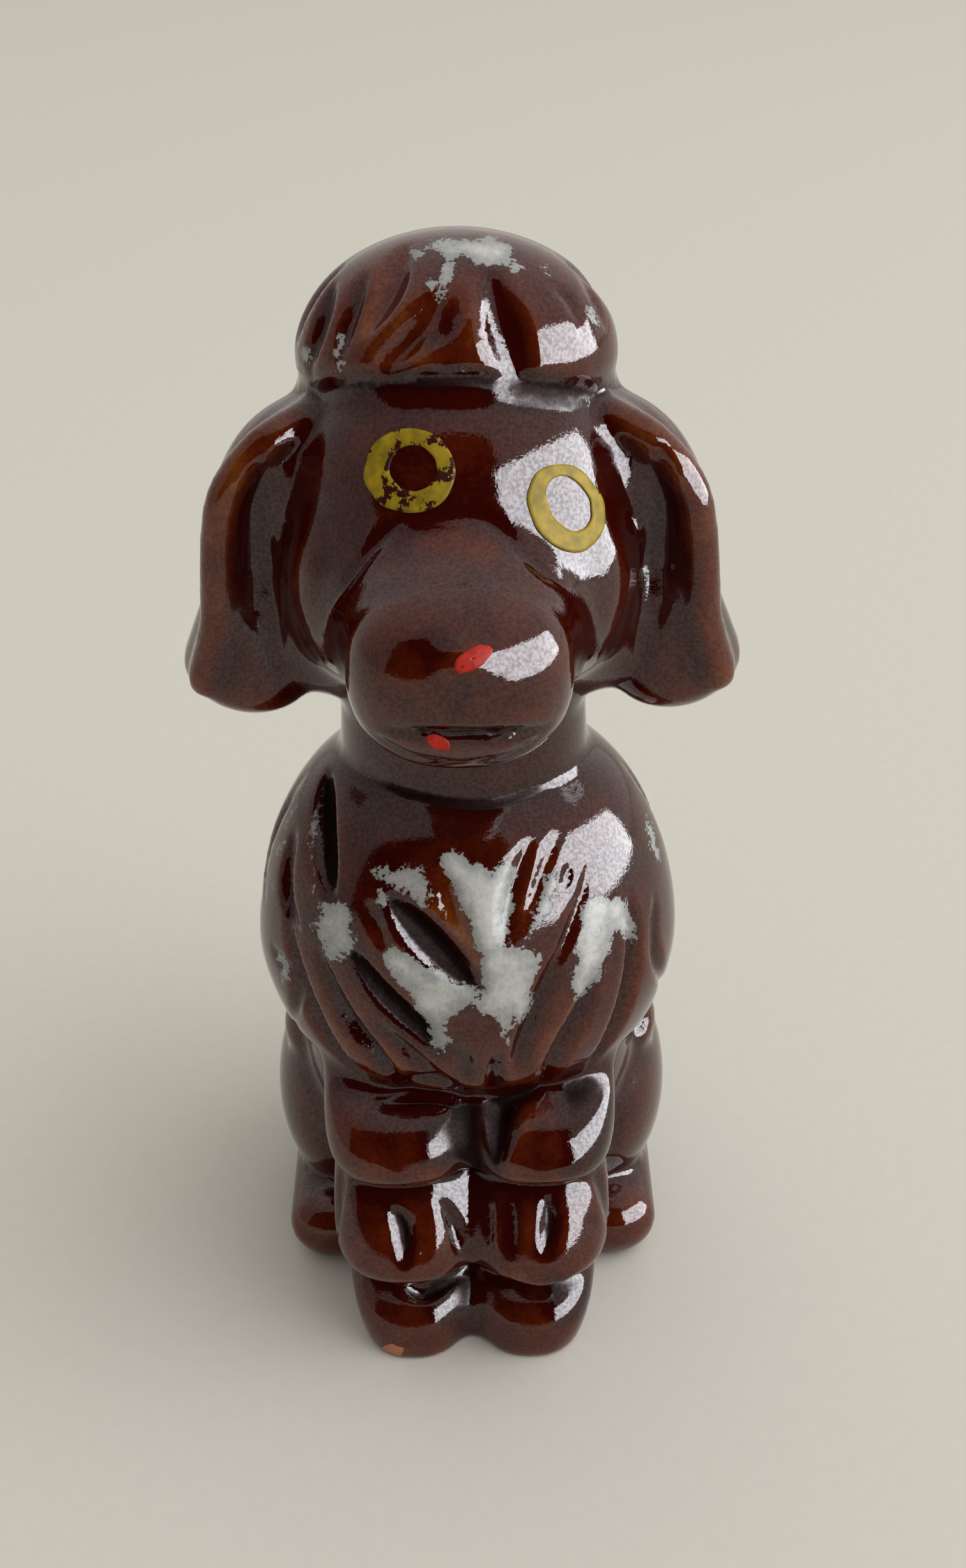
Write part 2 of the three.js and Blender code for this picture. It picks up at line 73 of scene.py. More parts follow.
back = Vector((0, -math.cos(LOOKS_DOWN), math.sin(LOOKS_DOWN)))
level_up = Vector((0, math.sin(LOOKS_DOWN), math.cos(LOOKS_DOWN)))
level_right = Vector((1, 0, 0))
right = level_right * math.cos(ROLL) - level_up * math.sin(ROLL)
up = level_up * math.cos(ROLL) + level_right * math.sin(ROLL)
eye_point = AIM + back * DISTANCE

camera_data = bpy.data.cameras.new("photo_camera")
camera_data.sensor_width = SENSOR
camera_data.lens = SENSOR * FOCAL_PIXELS / PHOTO_SIZE[1]
camera_data.clip_start = 5 * MM
camera_data.clip_end = 20
camera = add_object("photo_camera", camera_data)
camera.matrix_world = Matrix.Translation(eye_point) @ Matrix((right, up, back)).transposed().to_4x4()
bpy.context.scene.camera = camera


def line_of_sight(pixel):
    """The direction in which the camera sees a pixel of the photograph."""
    across = (pixel[0] - PHOTO_SIZE[0] / 2) / FOCAL_PIXELS
    above = (PHOTO_SIZE[1] / 2 - pixel[1]) / FOCAL_PIXELS
    return (right * across + up * above - back).normalized()


def pixel_size(point):
    """How much of the clay one pixel covers at a point."""
    return (Vector(point) - eye_point).dot(-back) / FOCAL_PIXELS


print("lens", round(camera_data.lens, 2), "mm, camera at", [round(c / MM, 1) for c in eye_point], "mm")

# %% [markdown]
# The clay is built up as a modeller does it: round lumps for skull, cheeks, topknot and thighs,
# and tapering rolls for body, muzzle, ears and legs. A lump is a UV sphere that is scaled and put in its
# place. A roll is a row of circles, one for each section, that are bridged into a tube and closed.

# %% Lumps and rolls of clay
SIDES = 64
ROLL_STEPS = 56
DOME_STEPS = 8


def mesh_of(form, name):
    """Turns a finished form into a mesh."""
    mesh = bpy.data.meshes.new(name)
    form.to_mesh(mesh)
    form.free()
    return mesh


def add_form(form, mirrored):
    """Adds a finished form to the heap of clay, and its mirror image if it is one of a pair."""
    if mirrored:
        whole = form.verts[:] + form.edges[:] + form.faces[:]
        bmesh.ops.mirror(form, geom=whole, axis="X", merge_dist=-1)
    bmesh.ops.recalc_face_normals(form, faces=form.faces[:])
    mesh = mesh_of(form, "form")
    clay.from_mesh(mesh)
    bpy.data.meshes.remove(mesh)


def add_lump(middle, half, under=None, tilt=0.0, mirrored=False):
    """A lump about a middle. Under is its half height below, and a tilt in degrees lifts its front."""
    lump = bmesh.new()
    bmesh.ops.create_uvsphere(lump, u_segments=SIDES, v_segments=SIDES // 2, radius=1)
    if under:
        below = [vert for vert in lump.verts if vert.co.z < 0]
        bmesh.ops.scale(lump, vec=(1, 1, under / half[2]), verts=below)
    bmesh.ops.scale(lump, vec=Vector(half) * MM, verts=lump.verts[:])
    bmesh.ops.rotate(lump, matrix=Matrix.Rotation(-math.radians(tilt), 3, "X"), verts=lump.verts[:])
    bmesh.ops.translate(lump, vec=Vector(middle) * MM, verts=lump.verts[:])
    add_form(lump, mirrored)


def smooth_run(stations, t):
    """A smooth curve through the stations, with t from 0 at the first to 1 at the last."""
    stations = np.asarray(stations, float)
    last = len(stations) - 1
    first = min(int(t * last), last - 1)
    u = t * last - first
    a, b, c, d = (stations[min(max(first + k, 0), last)] for k in (-1, 0, 1, 2))
    if first == 0:
        a = 2 * b - c
    if first == last - 1:
        d = 2 * c - b
    return 0.5 * (2 * b + (c - a) * u + (2 * a - 5 * b + 4 * c - d) * u**2
                  + (3 * b - a - 3 * c + d) * u**3)


def add_roll(stations, across, start_dome=0.0, end_dome=0.0, box=2.0, level=False, mirrored=False):
    """A roll through stations of x, y, z, half width and half depth, in millimetres. Box above 2
    makes sections and domes squarer, and level keeps sections flat however the roll bends."""
    roll = bmesh.new()
    runs = [(-i / DOME_STEPS, start_dome) for i in range(DOME_STEPS - 1, 0, -1)] if start_dome else []
    runs += [(i / ROLL_STEPS, 0.0) for i in range(ROLL_STEPS + 1)]
    runs += [(1 + i / DOME_STEPS, end_dome) for i in range(1, DOME_STEPS)] if end_dome else []
    rings = []
    for along, dome in runs:
        t = min(max(along, 0.0), 1.0)
        turn = (along - t) * math.pi / 2
        x, y, z, half_width, half_depth = smooth_run(stations, t)
        ahead = smooth_run(stations, min(t + 0.01, 1.0)) - smooth_run(stations, max(t - 0.01, 0.0))
        tangent = Vector((0, 0, ahead[2]) if level else ahead[:3]).normalized()
        depth_axis = tangent.cross(across).normalized()
        width_axis = depth_axis.cross(tangent)
        fuller = (math.cos(turn) ** box + abs(math.sin(turn)) ** box) ** (-1 / box)
        middle = Vector((x, y, z)) + tangent * dome * math.sin(turn) * fuller
        size = math.cos(turn) * fuller * MM
        axes = (width_axis * half_width * size, depth_axis * half_depth * size, tangent * MM)
        place = Matrix([list(axis) + [0] for axis in axes] + [list(middle * MM) + [1]]).transposed()
        ring = bmesh.ops.create_circle(roll, segments=SIDES, radius=1)["verts"]
        for vert in ring:
            vert.co /= sum(abs(c) ** box for c in vert.co) ** (1 / box)
        bmesh.ops.transform(roll, matrix=place, verts=ring)
        rings.append({edge for vert in ring for edge in vert.link_edges})
    for ring, following in zip(rings, rings[1:]):
        bmesh.ops.bridge_loops(roll, edges=list(ring | following))
    for ring in (rings[0], rings[-1]):
        bmesh.ops.contextual_create(roll, geom=list(ring))
    add_form(roll, mirrored)


print("a roll has", ROLL_STEPS + 1, "sections of", SIDES, "sides")

# %% [markdown]
# Each roll has its stations, in millimetres, with the origin on the table under the middle of the
# figure. Legs, ears, cheeks and thighs are made once and mirrored.

# %% The dog as lumps and rolls
X_AXIS, Y_AXIS = Vector((1, 0, 0)), Vector((0, 1, 0))

# Rolls: stations of x, y, z, half width and half depth
TRUNK = [(0, 3.0, 0, 11, 12.6), (0, 2.7, 8, 12.4, 13.4), (0, 1.6, 16, 12.9, 12.4),
         (0, 1.0, 21.4, 13.3, 12.4), (0, -1.4, 24.8, 14.4, 13.9), (0, -2.7, 30.5, 15.4, 13.4),
         (0, -2.7, 37, 14.4, 12.9), (0, -2.4, 42, 12.1, 11.2), (0, -2.1, 44.8, 9.4, 9),
         (0, -2, 45.4, 8.8, 8.5), (0, -2, 46.4, 8.65, 8.4), (0, -2.1, 52, 8.4, 8.2)]
MUZZLE = [(0, -6.5, 59.6, 10.6, 7.2), (0, -11.5, 59.6, 8.7, 6.7), (0, -14.3, 59.4, 7.5, 6.4),
          (0, -16.6, 59, 7, 6.1)]
EAR = [(8.6, -2, 68.4, 4.6, 3.1), (11.4, -2, 66.0, 4.7, 3.6), (13.1, -2, 62.2, 4.6, 3.6),
       (13.4, -2.3, 57.4, 4.9, 3.8), (14.6, -2.6, 52, 5.2, 4.5)]
EAR_RIM = [(9.6, -4.8, 70.3, 1.4, 1.2), (12.4, -6.2, 68.9, 1.4, 1.2), (14.7, -6.6, 65.8, 1.4, 1.25),
           (15.5, -6.6, 61.5, 1.4, 1.25), (15.8, -6.6, 57.3, 1.5, 1.3), (16.9, -6.3, 53, 1.5, 1.4)]
HIND_FOOT = [(11.2, 3.5, 3, 3.5, 3.3), (11.2, -4.9, 2.7, 3.5, 3)]
TAIL = [(0, 13.5, 8, 2.6, 2.6), (0, 18.3, 15, 2.3, 2.3)]

# The front of a foreleg, from elbow to toes: x, height, half width and how far forward it stands.
# The elbow and the cuff flare like bells, and each overhangs what is below it.
FORELEG_FRONT = [
    (5.6, 26, 5.6, 11.2), (5.4, 23.6, 5.5, 11.6), (5.3, 22.3, 5.5, 12.6), (5.25, 21.7, 5.5, 14.6),
    (5.2, 20.8, 5.5, 15.8), (5.2, 19.6, 5.5, 16.9), (5.15, 18.2, 5.4, 17.3), (5.1, 17.2, 5.3, 17.1),
    (5.05, 16.5, 5.2, 16.2), (5, 15.8, 5.1, 14), (5, 15.1, 5.2, 14.2), (5, 14.2, 5.3, 15.3),
    (5, 12.6, 5.35, 16.4), (5, 11, 5.4, 17.3), (5, 9.5, 5.4, 17.9), (4.95, 8.6, 5.3, 18),
    (4.85, 7.8, 5.1, 17.2), (4.75, 7, 5, 15.6), (4.7, 6.3, 4.9, 14.2), (4.65, 5.5, 4.85, 14.2),
    (4.65, 5, 4.85, 15.2), (4.65, 4.5, 4.85, 16.2), (4.65, 3.8, 4.8, 16.9), (4.6, 2.6, 4.65, 17.4),
    (4.5, 1.2, 4.4, 17.6), (4.35, -0.8, 4, 17.2)]
LEG_BACK = -5.5
WEB_STEP, WEB_HALF_WIDTH = 2.4, 1.5
FORELEG = [(x, (LEG_BACK - front) / 2, z, half_width, (front + LEG_BACK) / 2)
           for x, z, half_width, front in FORELEG_FRONT]
LEG_WEB = [(0, (LEG_BACK - front + WEB_STEP) / 2, z, WEB_HALF_WIDTH, (front - WEB_STEP + LEG_BACK) / 2)
           for x, z, half_width, front in FORELEG_FRONT]

# Lumps: middle, half sizes and, for the topknot with its flat underside, under and tilt
SKULL = ((0, -3.1, 63.3), (11.2, 11.2, 12.5))
NOSE = ((0.2, -20.3, 61.5), (3, 2.4, 1.9))
TOPKNOT = ((0, -1.2, 73.2), (10.3, 9, 7.8), 5, 14)
TEMPLE = ((7.4, 0, 70.8), (2.9, 5, 3.8))
POMPON = ((0, 19, 17.4), (4.7, 4.3, 5.2))
CHEEK = ((5.5, -6.9, 60.4), (5.7, 6.2, 7.4))
JAW = ((8.6, -3.2, 56), (4.4, 5, 5.5))
THIGH = ((10.6, 4.5, 10.5), (5.2, 9.5, 8.4))
HIP_CURL = ((12.2, 2.2, 17.4), (2.6, 3.4, 3.2))

clay = bmesh.new()
add_roll(FORELEG, X_AXIS, box=2.45, level=True, mirrored=True)
add_roll(HIND_FOOT, X_AXIS, start_dome=3.3, end_dome=2.8, mirrored=True)
add_roll(EAR, Y_AXIS, start_dome=2.2, end_dome=2.8, mirrored=True)
add_roll(EAR_RIM, Y_AXIS, start_dome=1.5, end_dome=1.5, mirrored=True)
for lump in (TEMPLE, CHEEK, JAW, THIGH, HIP_CURL):
    add_lump(*lump, mirrored=True)
add_roll(TRUNK, X_AXIS, start_dome=2, end_dome=2.5, level=True)
add_roll(MUZZLE, X_AXIS, end_dome=6, box=2.35)
add_roll(LEG_WEB, X_AXIS, level=True)
add_roll(TAIL, X_AXIS, start_dome=1.5)
for lump in (SKULL, NOSE, TOPKNOT, POMPON):
    add_lump(*lump)
lumps = mesh_of(clay, "clay")
print("lumps and rolls:", len(lumps.polygons), "faces")

# %% [markdown]
# On the real dog slip fills the seams and the glaze runs over them, so no seam shows. A voxel remesh
# does the same: it melts the overlapping lumps into one closed skin with small, even faces, fine
# enough to carry the strokes of the modelling tool.

# %% One skin
VOXEL = 0.375 * MM



def apply_modifiers():
    """Turns the skin with its modifiers into a plain mesh."""
    shown = skin.evaluated_get(bpy.context.evaluated_depsgraph_get())
    skin_mesh = bpy.data.meshes.new_from_object(shown)
    skin.modifiers.clear()
    skin.data = skin_mesh
    return skin_mesh


skin = add_object("glazed_dog", lumps)
melt = skin.modifiers.new("melt", "REMESH")
melt.mode = "VOXEL"
melt.voxel_size = VOXEL
melted = apply_modifiers()
bpy.data.meshes.remove(lumps)

edge_ends = np.empty(len(melted.edges) * 2, int)
melted.edges.foreach_get("vertices", edge_ends)
edge_ends = edge_ends.reshape(-1, 2)
valence = np.bincount(edge_ends.ravel(), minlength=len(melted.vertices))[:, None]
places = np.empty(len(melted.vertices) * 3)
melted.vertices.foreach_get("co", places)
places = places.reshape(-1, 3)


def neighbour_mean(values):
    """The mean over each vertex's neighbours."""
    total = np.zeros_like(values)
    for k in range(values.shape[1]):
        total[:, k] += np.bincount(edge_ends[:, 0], values[edge_ends[:, 1], k], len(values))
        total[:, k] += np.bincount(edge_ends[:, 1], values[edge_ends[:, 0], k], len(values))
    return total / valence


def outward():
    """Writes the places to the skin and returns which way it faces at each vertex."""
    melted.vertices.foreach_set("co", places.ravel())
    melted.update()
    bpy.context.view_layer.update()
    normals = np.empty(len(melted.vertices) * 3)
    melted.vertex_normals.foreach_get("vector", normals)
    return normals.reshape(-1, 3)


print("skin:", len(melted.vertices), "vertices")

# %% [markdown]
# Slip gathers in the seams and rounds them. Here each vertex in a hollow moves out towards the mean
# of its neighbours, round after round, so that seams fill to soft fillets and the round forms keep
# their size. Face and nape take the most slip, the collar stays crisp, and a damp sponge has worn the
# forelegs. The soles are pressed flat on the table.

# %% Fill the seams with slip
SLIP_ROUNDS = 8
FACE_ROUNDS = 160
LEG_ROUNDS = 30
LEG_WEAR_ROUNDS, LEG_WEAR_SHARE = 16, 0.5
NAPE_ROUNDS = 80
SOFTEN_ROUNDS = 14
SOFTEN_IN, SOFTEN_OUT = 0.5, -0.51
SOLE_EDGE = 0.5 * MM

# Where the slip lies, in millimetres. A spot is a middle and a reach.
COLLAR_HEIGHT, COLLAR_REACH = 45.8, 2.2
BROW_HEIGHT, BROW_FADE = 71, 3
LEGS_BEHIND, LEGS_BELOW, LEGS_FADE = -8, 25, 2
FACE_SPOTS = [((0, -11, 61), 15), ((9, -7, 55), 6), ((-9, -7, 55), 6)]
NAPE_SPOTS = [((0, 5, 54), 8), ((7, 2, 53), 6), ((-7, 2, 53), 6)]


def near_to(middle, reach):
    """Falls from 1 at a point, given in millimetres, to 0 at a distance from it."""
    far = np.linalg.norm(places - np.array(middle) * MM, axis=1) / (reach * MM)
    return (1 - far.clip(0, 1) ** 2) ** 2


def near_spots(spots):
    """Is 1 about some spots and falls to 0 away from them."""
    return (2 * sum(near_to(middle, reach) for middle, reach in spots)).clip(0, 1)


def fill_with_slip(rounds, share):
    """Lifts each vertex in a hollow a share of the way to the mean of its neighbours."""
    for step in range(rounds):
        facing = outward() if step % 5 == 0 else facing
        lift = ((neighbour_mean(places) - places) * facing).sum(1).clip(0)
        places[:] += facing * (lift * share)[:, None]


collar = (1 - abs(places[:, 2] / MM - COLLAR_HEIGHT) / COLLAR_REACH).clip(0, 1)
fill_with_slip(SLIP_ROUNDS, 1 - collar)
x, y, z = places.T / MM
below_brow = ((BROW_HEIGHT - z) / BROW_FADE).clip(0, 1)
legs = ((LEGS_BEHIND - y) / LEGS_FADE).clip(0, 1) * ((LEGS_BELOW - z) / LEGS_FADE).clip(0, 1)
fill_with_slip(FACE_ROUNDS, near_spots(FACE_SPOTS) * below_brow)
fill_with_slip(NAPE_ROUNDS, near_spots(NAPE_SPOTS))
fill_with_slip(LEG_ROUNDS, legs)
for step in range(LEG_WEAR_ROUNDS):
    places += LEG_WEAR_SHARE * legs[:, None] * (neighbour_mean(places) - places)
for step in range(SOFTEN_ROUNDS):
    for share in (SOFTEN_IN, SOFTEN_OUT):
        places += share * (neighbour_mean(places) - places)
low = places[:, 2] < SOLE_EDGE
places[low, 2] = SOLE_EDGE * np.exp((places[low, 2] - SOLE_EDGE) / SOLE_EDGE)
facing = outward()
print("lowest", round(places[:, 2].min() / MM, 3), "highest", round(places[:, 2].max() / MM, 2), "mm")

# %% [markdown]
# The hair was gouged with a loop tool before firing. Each stroke is a short line of pixels of the
# photograph with a half width, also in pixels, a depth in millimetres and a tone: above 0 the glaze
# ran thin there and looks amber, below 0 it gathered and looks black, and in some strokes that black
# is painted shade. A stroke is thrown on the skin along the lines of sight, and the vertices near it
# sink. It starts and ends in a point.

# %% Tool strokes
def on_skin(pixels):
    """Where the lines of sight through some pixels meet the skin, or pass it nearest."""
    points = []
    for pixel in pixels:
        sight = line_of_sight(pixel)
        met, hit = skin.ray_cast(eye_point, sight)[:2]
        points.append(hit if met else skin.closest_point_on_mesh(eye_point + sight * DISTANCE)[1])
    return points


def distance_along(path, reach):
    """For the vertices within reach of a path: which they are, how far off, and how far along."""
    fine = np.array([smooth_run(path, t)[:3] for t in np.linspace(0, 1, 6 * len(path))])
    near = np.all((places > fine.min(0) - reach) & (places < fine.max(0) + reach), axis=1).nonzero()[0]
    far = np.full(len(near), np.inf)
    along = np.zeros(len(near))
    for i, (start, end) in enumerate(zip(fine, fine[1:])):
        run = end - start
        t = ((places[near] - start) @ run / max(run @ run, 1e-12)).clip(0, 1)
        gap = np.linalg.norm(places[near] - start - t[:, None] * run, axis=1)
        closer = gap < far
        far[closer] = gap[closer]
        along[closer] = ((i + t) / (len(fine) - 1))[closer]
    inside = far < reach
    return near[inside], far[inside], along[inside]


def gouge(path, half_width, depth, tone=0.0, blunt=0.15, flat=2, into=None):
    """Sinks a groove along a path. Blunt is the share of its width that it keeps at its ends, and
    flat makes its floor flatter. Into is the way that it sinks, or else that is into the skin."""
    which, far, along = distance_along(path, half_width)
    fullness = blunt + (1 - blunt) * np.sin(np.pi * along) ** 0.7
    across = (far / (half_width * fullness)).clip(0, 1)
    profile = (1 - across**flat) ** 1.3
    way = -facing[which] if into is None else np.array(into)
    places[which] += (depth * fullness * profile)[:, None] * way
    glaze_tone_and_painted_shade[which] += tone * profile


def stroke(pixels, half_width, depth, tone=0.0, **shape):
    """Gouges along a line of pixels. Its half width is in pixels and its depth in millimetres."""
    path = on_skin(pixels)
    gouge(path, half_width * pixel_size(path[0]), depth * MM, tone, **shape)


# Tones of the strokes: amber where the glaze ran thin, black where it gathered, and painted shade.
glaze_tone_and_painted_shade = np.zeros(len(places))
print("strokes sink into", len(places), "vertices")

# %% [markdown]
# Some places were pressed in with a fingertip, and some are darkened as painted shade. Those are
# outlines in pixels of the photograph. What lies inside one moves away from the eye or changes its
# tone, less so near the edge.

# %% Presses and dark patches
def pixels_of(points):
    """Where points show in the photograph."""
    away = points - np.array(eye_point)
    deep = away @ -np.array(back)
    across = away @ np.array(right) / deep
    above = away @ np.array(up) / deep
    columns = PHOTO_SIZE[0] / 2 + FOCAL_PIXELS * across
    rows = PHOTO_SIZE[1] / 2 - FOCAL_PIXELS * above
    return np.stack((columns, rows), 1)


def depth_inside(outline, pixels):
    """How far inside a closed outline some pixels lie. Outside it is negative."""
    corners = np.array(outline, float)
    edge = np.full(len(pixels), np.inf)
    inside = np.zeros(len(pixels), bool)
    for start, end in zip(corners, np.roll(corners, -1, axis=0)):
        run = end - start
        t = ((pixels - start) @ run / (run @ run)).clip(0, 1)
        edge = np.minimum(edge, np.linalg.norm(pixels - start - t[:, None] * run, axis=1))
        level = (pixels[:, 1] - start[1]) / (run[1] or 1e-9)
        inside ^= ((start[1] > pixels[:, 1]) != (end[1] > pixels[:, 1])) & (
            pixels[:, 0] < start[0] + level * run[0])
    return np.where(inside, edge, -edge)


def faces_camera():
    """Which vertices face the camera."""
    return ((np.array(eye_point) - places) * facing).sum(1) > 0


def press(outline, depth, tone, edge):
    """Presses a patch in along the lines of sight, with a soft edge of so many pixels."""
    which = faces_camera().nonzero()[0]
    share = (depth_inside(outline, pixels_of(places[which])) / edge).clip(0, 1)
    share = share**2 * (3 - 2 * share)
    sight = places[which] - np.array(eye_point)
    sight /= np.linalg.norm(sight, axis=1)[:, None]
    places[which] += sight * (depth * share)[:, None]
    glaze_tone_and_painted_shade[which] += tone * share


print("vertices that face the camera:", int(faces_camera().sum()))

# %% [markdown]
# The topknot has a few broad locks, combed forward from the crown. Beside two of the amber strokes
# runs a thin, dark one, where the tool dug in and the glaze gathered.

# %% Hair of the topknot
TOPKNOT_STROKES = [
    ([(638, 384), (616, 430), (592, 478), (568, 530)], 28, 1.0, 0.9),
    ([(648, 400), (630, 440), (607, 480), (588, 512)], 13, 0.4, -0.9),
    ([(692, 452), (660, 505), (620, 550), (585, 590)], 34, 1.0, 0.8),
    ([(702, 480), (683, 525), (650, 556)], 12, 0.4, -0.8),
    ([(718, 455), (704, 515), (694, 600)], 14, 0.6, 0.3),
    ([(766, 425), (785, 490), (806, 560), (822, 612)], 44, 1.1, 0.0),
    ([(780, 452), (796, 510), (820, 575)], 24, 0.3, 0.9),
    ([(905, 430), (932, 470), (948, 520)], 13, 0.4, 0.5),
    ([(855, 438), (890, 470), (915, 525)], 11, 0.35, 0.4),
    ([(524, 440), (500, 505), (490, 600)], 22, 0.8, -0.3),
    ([(576, 425), (548, 490), (532, 590)], 20, 0.7, 0.1),
]
for seen in TOPKNOT_STROKES:
    stroke(*seen)
print("strokes on the topknot:", len(TOPKNOT_STROKES))

# %% [markdown]
# The chest is the showpiece. Its strokes, deep ones beside shallow ones, run down from both shoulders
# and draw together above the forelegs, so that they break up the light. Two have no depth and only
# darken the glaze, as painted shade in the deep strokes beside them. They go on before those deep
# strokes sink the clay out of their reach.

# %% Hair of the chest
CHEST_STROKES = [
    # Painted shade: this stroke and the deep one after it darken the gouge to black.
    ([(602, 1410), (648, 1461), (697, 1512), (746, 1555)], 40, 0.0, -1.0),
    ([(606, 1404), (652, 1455), (702, 1506), (750, 1550)], 34, 1.5, -1.0),
    ([(688, 1352), (702, 1410), (725, 1475), (750, 1535)], 24, 0.5, 1.0),
    ([(575, 1410), (590, 1450), (602, 1490)], 13, 0.5, 0.5),
    ([(832, 1312), (812, 1370), (797, 1430), (790, 1485)], 17, 0.9, 0.7),
    ([(874, 1298), (856, 1350), (836, 1405), (806, 1465)], 10, 0.6, 0.7),
    ([(895, 1345), (888, 1375), (882, 1402)], 10, 0.5, 0.0),
    ([(924, 1345), (908, 1415), (880, 1490), (850, 1560)], 11, 0.7, 0.8),
    ([(878, 1480), (850, 1560), (818, 1640), (800, 1690)], 18, 1.2, 0.6),
    ([(936, 1525), (905, 1600), (872, 1660), (848, 1705)], 22, 1.5, 0.6),
    ([(985, 1400), (994, 1500), (968, 1600), (912, 1690)], 22, 1.3, 0.5),
    ([(1024, 1400), (1030, 1500), (1008, 1600), (960, 1670)], 16, 0.9, 0.3),
    ([(842, 1580), (825, 1640), (816, 1690)], 10, 0.6, 0.5),
    # Painted shade: this stroke and the deep one after it darken the gouge to black.
    ([(542, 1486), (589, 1558), (639, 1608), (697, 1655)], 30, 0.0, -1.0),
    ([(545, 1480), (592, 1552), (642, 1602), (700, 1650)], 23, 1.2, -1.0),
    ([(600, 1555), (645, 1590), (690, 1612)], 12, 0.5, 0.8),
    ([(498, 1490), (538, 1590), (590, 1660), (655, 1712)], 23, 1.4, -0.3),
    ([(448, 1430), (472, 1545), (520, 1640), (590, 1712)], 23, 1.3, 0.3),
    ([(425, 1480), (440, 1570), (475, 1650)], 16, 0.8, 0.2),
    ([(590, 1600), (640, 1650), (700, 1690)], 13, 0.8, 0.2),
    ([(514, 1205), (506, 1300), (520, 1405)], 25, 1.2, -2.0),
    ([(462, 1300), (446, 1390), (468, 1465)], 19, 0.8, -0.3),
    ([(445, 1240), (422, 1320), (415, 1410)], 12, 0.5, 0.0),
    ([(702, 1590), (735, 1604), (764, 1594)], 15, 0.4, 0.7),
    ([(712, 1630), (732, 1675), (742, 1715)], 13, 0.9, 0.2),
    ([(776, 1640), (776, 1690), (777, 1725)], 12, 0.9, 0.0),
    ([(600, 1698), (650, 1690), (705, 1700), (745, 1712)], 14, 0.7, -0.5),
    ([(790, 1716), (830, 1712), (850, 1696)], 11, 0.6, -0.4),
    ([(590, 1716), (640, 1704), (700, 1710), (738, 1724)], 8, 0.4, 0.4),
    ([(596, 1734), (650, 1726), (704, 1730)], 8, 0.4, -0.6),
]
for seen in CHEST_STROKES:
    stroke(*seen)
print("strokes on the chest:", len(CHEST_STROKES))

# %% [markdown]
# A cuff of hair goes round each foreleg, with short, upright strokes. The hems of elbows and cuffs
# were pulled down with the thumb and wave a little. Between the elbows the clay was pressed in. There,
# on the elbows and below the cuffs, dark patches that hardly shine are painted shade.

# %% Cuffs and hems of the forelegs
CUFF_STROKES = [
    ([(612, 1888), (632, 1925), (634, 1990)], 17, 0.9, -0.9),
    ([(655, 1876), (660, 1930), (666, 1990)], 10, 0.4, 0.6),
    ([(688, 1872), (712, 1920), (716, 1985)], 12, 0.7, -0.2),
    ([(858, 1866), (860, 1920), (852, 1972)], 15, 0.8, -0.7),
    ([(800, 1868), (797, 1920), (800, 1975)], 15, 0.5, -0.2),
    ([(768, 1870), (766, 1965)], 10, 0.4, 0.3),
    ([(572, 1960), (570, 2025)], 10, 0.5, 0.3),
    ([(840, 1960), (843, 2015)], 10, 0.5, 0.0),
    ([(938, 1930), (930, 2000)], 10, 0.5, 0.2),
]
HEMS = [
    ([(600, 1985), (663, 2012), (720, 1992)], 24, 0.9),
    ([(790, 1990), (850, 2004), (905, 1990)], 18, 0.5),
    ([(590, 1806), (650, 1830), (715, 1822)], 22, 0.6),
    ([(800, 1812), (860, 1818), (915, 1800)], 20, 0.5),
]
LEG_GAP = [(752, 1706), (832, 1706), (818, 1760), (810, 1790), (792, 1842), (770, 1846), (756, 1790)]
# Painted shade in the gap between the elbows: darker glaze that hardly shines.
LEG_GAP_PAINTED_SHADE = [(690, 1722), (815, 1706), (812, 1760), (806, 1790), (790, 1842), (750, 1846), (700, 1815)]
# Painted shade on the elbows and below the cuffs: darker, duller glaze that dims the lamp's highlights.
DULL_PAINTED_SHADE_PATCHES = [
    [(650, 1745), (752, 1735), (748, 1800), (715, 1835), (655, 1828)],
    [(866, 1690), (925, 1668), (972, 1690), (972, 1770), (944, 1842), (882, 1846)],
    [(662, 1996), (748, 1980), (748, 2055), (690, 2080), (662, 2060)],
    [(846, 1996), (945, 1980), (950, 2055), (880, 2080), (846, 2060)],
]
PULLED_DOWN = (0, -0.2, -1)
LEG_GAP_DEPTH, LEG_GAP_EDGE = 1.2 * MM, 34
LEG_GAP_PAINTED_SHADE_TONE, LEG_GAP_PAINTED_SHADE_EDGE = -1.2, 20
DULL_PAINTED_SHADE_TONE, DULL_EDGE = -0.86, 18
for seen in CUFF_STROKES:
    stroke(*seen)
for seen in HEMS:
    stroke(*seen, into=PULLED_DOWN)
press(LEG_GAP, LEG_GAP_DEPTH, 0.0, LEG_GAP_EDGE)
press(LEG_GAP_PAINTED_SHADE, 0.0, LEG_GAP_PAINTED_SHADE_TONE, LEG_GAP_PAINTED_SHADE_EDGE)
for outline in DULL_PAINTED_SHADE_PATCHES:
    press(outline, 0.0, DULL_PAINTED_SHADE_TONE, DULL_EDGE)
print("strokes on the cuffs:", len(CUFF_STROKES), "and hems:", len(HEMS))
